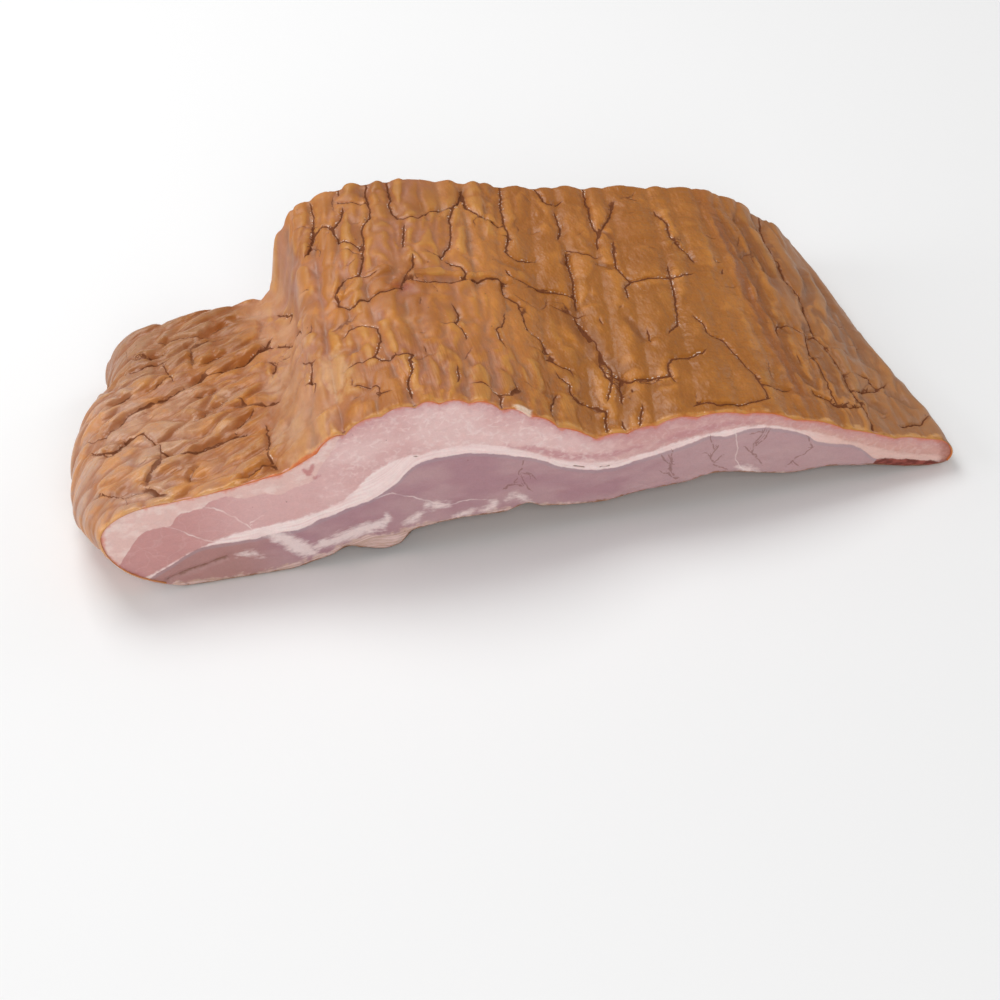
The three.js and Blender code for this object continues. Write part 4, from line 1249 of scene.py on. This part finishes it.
colour = finish.coated(
    OCHRE,
    (DARK_OCHRE, finish.rise(finish.mottle((38, 55, 38), 3, 0.55), 0.36, 0.64)),
    (ORANGE, finish.rise(blotches, 0.48, 0.7), 0.55),
    # Paler on the wing and on the foot of the hump: partly the skin's own paler tone, partly painted sheen.
    (PALE_TAN_AND_SHEEN, finish.fall(x_mm, -134, -98), finish.spread(blotches, 0.6, 0.25)),
    (PALE_TAN_AND_SHEEN, finish.rise(x_mm, -97, -83), finish.fall(x_mm, -74, -62), finish.spread(blotches, 0.1, 0.5)),
    # Painted highlight and shade: raised skin is painted yellower, and what lies low is painted greyer, or
    # browner at the right, as shade.
    (YELLOW_OCHRE, finish.rise(proud_mm, 0.05, 0.6), finish.rise(finish.painted("pillow"), -0.6, 0.6), 0.45),
    (GREY_TAN, finish.rise(finish.painted("valley"), 1.6, 3.2), 0.45),
    (hollow_shade_tone, finish.rise(sunken_mm, 0.05, 0.8), 0.5),
    # The middle is the deepest in colour.
    (DEEP_OCHRE, over_middle, finish.spread(blotches, 0.85, 0.6),
     finish.spared(finish.rise(x_mm, 70, 96), 0.28)),
    (DARK_OCHRE, over_middle, finish.rise(cut_gap, 60, 130), finish.fall(x_mm, 66, 96), 0.45),
    # Painted shade in the middle's hollows, and a painted orange highlight on its raised skin.
    (HOLLOW_SHADE_BROWN, over_middle, finish.rise(hollow_mm, 0.2, 1.0), 0.5),
    (ORANGE, over_middle, finish.rise(proud_mm, 0.03, 0.35),
     finish.rise(finish.mottle((16, 22, 16)), 0.4, 0.6), 0.4),
    # Right of it a long valley runs from the cut to the far edge, painted brown as shade, and the slope
    # beyond is painted greyer as sheen.
    (PAINTED_SHADE_BROWN, finish.fall(to_long_valley, LONG_VALLEY_WIDTH / 4, LONG_VALLEY_WIDTH),
     finish.rise(cut_gap, 6, 18), finish.spread(blotches, 0.15, 0.5)),
    (GREY_TAN, finish.rise(x_mm, 118, 142), finish.spread(blotches, 0.25, 0.65)),
    # Painted shade and sheen: the hump and the wing are painted greyer where they lie low, as shade, the
    # wing's left end paler, partly its own tone and partly painted sheen, and the hump darker towards the far
    # edge, as painted shade.
    (LOW_SHADE_TAN, finish.fall(x_mm, -16, 14), finish.fall(proud_mm, -0.1, 0.3),
     finish.spread(finish.mottle((14, 20, 14), 3, 0.6), 0.0, 0.42)),
    (PALE_GREY_AND_SHEEN, finish.fall(x_mm, -126, -96), finish.spread(blotches, 0.4, 0.1)),
    (FAR_SHADE_TAN, finish.rise(cut_gap, 90, 140), finish.rise(x_mm, -74, -54), finish.fall(x_mm, -6, 20), 0.22),
    (DARK_OCHRE, up_to_hump, finish.rise(x_mm, -140, -122), finish.spread(blotches, 0.62, 0.2)),
    # Pale patches on the wing and the foot of the hump: partly own tone, partly painted sheen.
    (PALE_TAN_AND_SHEEN, finish.fall(x_mm, -84, -68), finish.fall(wing_mottle, 0.36, 0.48), 0.5),
    (ORANGE, up_to_hump, finish.rise(wing_mottle, 0.5, 0.62), 0.5),
    # Painted shade: the wing darker towards the far edge.
    (FAR_SHADE_TAN, over_wing, finish.rise(cut_gap, 78, 112), 0.5),
    (DRY_STREAK, finish.rise(finish.mottle((3, 26, 8), 3, 0.6), 0.6, 0.74),
     finish.spared(over_middle, 0.6), 0.2),
    # Painted shade and highlight: each scale of the wing is painted brown in its creases and on the side
    # towards the cut, as shade, and pale on its back, as highlight.
    (PAINTED_SHADE_BROWN, up_to_hump, finish.rise(hollow_mm, 0.3, 0.75), 0.5),
    (PAINTED_SHADE_BROWN, over_wing, finish.rise(facing, 0.1, 0.8), 0.5),
    (PALE_TAN_AND_SHEEN, over_wing, finish.rise(facing_back, 0.04, 0.3), 0.4),
    (WAXY, finish.fall(wax_gap, 0.0, 1.4), 0.42),
    (STAIN_RED, finish.painted("smoke_stain")),
    (DARK_OCHRE, finish.fall(gap_mm, 0.2, 1.8), crack_strength, 0.35),
    (CRACK_BROWN, line, 0.92),
    (WHITE_FAT_AND_GLINT, painted_glint, 0.75),
    (PORE_BROWN, pores, finish.rise(finish.mottle((17, 22, 17), 1), 0.5, 0.6), 0.8),
    # Painted highlight: a golden band along the rim at the cut.
    (RIM_HIGHLIGHT_GOLD, near_rim, 0.5),
    (rim_red, red_line, finish.spread(finish.mottle((5, 5, 5), 3, 0.6), 0.5, 0.95)),
    (WHITE_FAT_AND_GLINT, finish.fall(off_patch, 2.0, 4.6), finish.fall(cut_gap, 1.4, 3.2), 0.72),
)
colour = finish.shade(colour, finish.spread(finish.mottle((1.0, 1.5, 1.2), 4, 0.7), 0.95, 1.05))
finish.put(finish.shader.inputs["Base Color"], colour)

# Fat that has seeped out keeps the cracks and the rim moist, and the floor of a crack is dull.
dryness = finish.spread(finish.mottle((12, 20, 12), 4, 0.6), 0.38, 0.54)
moist = finish.total(
    (finish.fall(gap_mm, 0.6, 2.2), crack_strength, 0.12),
    (near_rim, 0.12),
    (over_wing, 0.07),
    (over_middle, 0.02),
)
roughness = finish.math("MAXIMUM", finish.math("SUBTRACT", dryness, moist), finish.times(line, 0.9))
finish.put(finish.shader.inputs["Roughness"], roughness)
finish.shader.inputs["Specular IOR Level"].default_value = 0.34
finish.soak(0.08, (1.0, 0.4, 0.2), 2)

# Fine wrinkles: pebbled in the middle, rippled right of it, streaky at the right, and along the folds.
WRINKLE_DEPTH, GRAIN_DEPTH = 0.5, 0.045
off_middle = finish.math("ABSOLUTE", finish.math("SUBTRACT", x_mm, 60))
waves = finish.total(
    (finish.mottle((3.4, 5.5, 3.4), 2, 0.5), finish.fall(off_middle, 40, 80), 1.7),
    (finish.mottle((13, 3.2, 8), 2, 0.4), finish.rise(x_mm, 62, 78), finish.fall(x_mm, 112, 128), 2.1),
    (finish.mottle((2.4, 34, 5), 2, 0.45), finish.rise(x_mm, 98, 110)),
    (finish.mottle((5, 11, 5), 2, 0.45), finish.rise(x_mm, -100, -88), finish.fall(x_mm, -68, -56), 0.9),
    (finish.mottle((14, 2.8, 8), 2, 0.45, -WING_SLANT), over_wing, 2.0),
    (finish.mottle((2.6, 20, 9), 2, 0.45), finish.fall(cut_gap, 26, 60),
     finish.rise(x_mm, -70, -50), finish.fall(x_mm, 12, 34), 1.7),
)
grain = finish.mottle((0.9, 2.0, 0.9), 3, 0.5)
wrinkled = finish.bump(waves, WRINKLE_DEPTH)
finish.put(finish.shader.inputs["Normal"], finish.bump(grain, GRAIN_DEPTH, wrinkled))
rind.data.materials.append(finish.material)
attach(rind, "root")
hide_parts(SLAB)

# ---- Floor, light and camera ----
# A pale floor that the slab lies on, soft light from above and all round, and a camera that
# looks down on the cut from a little to its left.

FLOOR_SIZE = 6.0
bpy.ops.object.select_all(action="DESELECT")
bpy.ops.mesh.primitive_plane_add(size=FLOOR_SIZE, location=(0, 0, 0))
floor = bpy.context.object
floor.name = "floor"
finish = Finish("pale floor")
finish.shader.inputs["Base Color"].default_value = tone(238, 238, 238)
finish.shader.inputs["Roughness"].default_value = 0.7
floor.data.materials.append(finish.material)

world = bpy.context.scene.world or bpy.data.worlds.new("studio")
bpy.context.scene.world = world
world.use_nodes = True
world.node_tree.nodes["Background"].inputs["Color"].default_value = (1, 1, 1, 1)
world.node_tree.nodes["Background"].inputs["Strength"].default_value = 0.34

# Soft boxes as (name, place, size, power), each turned towards the slab.
SOFT_BOXES = [
    ("overhead", (-0.3, 0.65, 1.15), 0.8, 10),
    ("front", (-0.1, -1.4, 0.75), 0.8, 10),
    ("left", (-1.2, 0.2, 0.55), 0.7, 5),
    ("right", (1.1, 0.5, 0.6), 0.6, 2),
]
for name, place, size, power in SOFT_BOXES:
    light = bpy.data.lights.new(name, "AREA")
    light.size = size
    light.energy = power
    soft_box = bpy.data.objects.new(name, light)
    bpy.context.scene.collection.objects.link(soft_box)
    away = unit(np.array(place))
    side = unit(np.cross((0, 0, 1), away))
    axes = np.column_stack([side, np.cross(away, side), away])
    soft_box.matrix_world = Matrix.Translation(place) @ Matrix(axes.tolist()).to_4x4()

CAMERA_TURN, CAMERA_TILT, CAMERA_ROLL = np.radians([9.48, 36.22, 3.51])
CAMERA_TARGET = np.array([-0.0066, -0.0606, 0])
CAMERA_DISTANCE = 0.8994
LENS = 85
forward = np.array([
    np.sin(CAMERA_TURN) * np.cos(CAMERA_TILT),
    np.cos(CAMERA_TURN) * np.cos(CAMERA_TILT),
    -np.sin(CAMERA_TILT),
])
level = np.array([np.cos(CAMERA_TURN), -np.sin(CAMERA_TURN), 0])
upright = np.cross(level, forward)
rolled_right = np.cos(CAMERA_ROLL) * level - np.sin(CAMERA_ROLL) * upright
rolled_up = np.sin(CAMERA_ROLL) * level + np.cos(CAMERA_ROLL) * upright
axes = Matrix(np.column_stack([rolled_right, rolled_up, -forward]).tolist()).to_4x4()
camera = bpy.data.objects.new("camera", bpy.data.cameras.new("camera"))
bpy.context.scene.collection.objects.link(camera)
camera.data.lens = LENS
camera.data.clip_start = 0.05
camera.matrix_world = Matrix.Translation(CAMERA_TARGET - forward * CAMERA_DISTANCE) @ axes
bpy.context.scene.camera = camera
bpy.context.scene.view_settings.view_transform = "Standard"
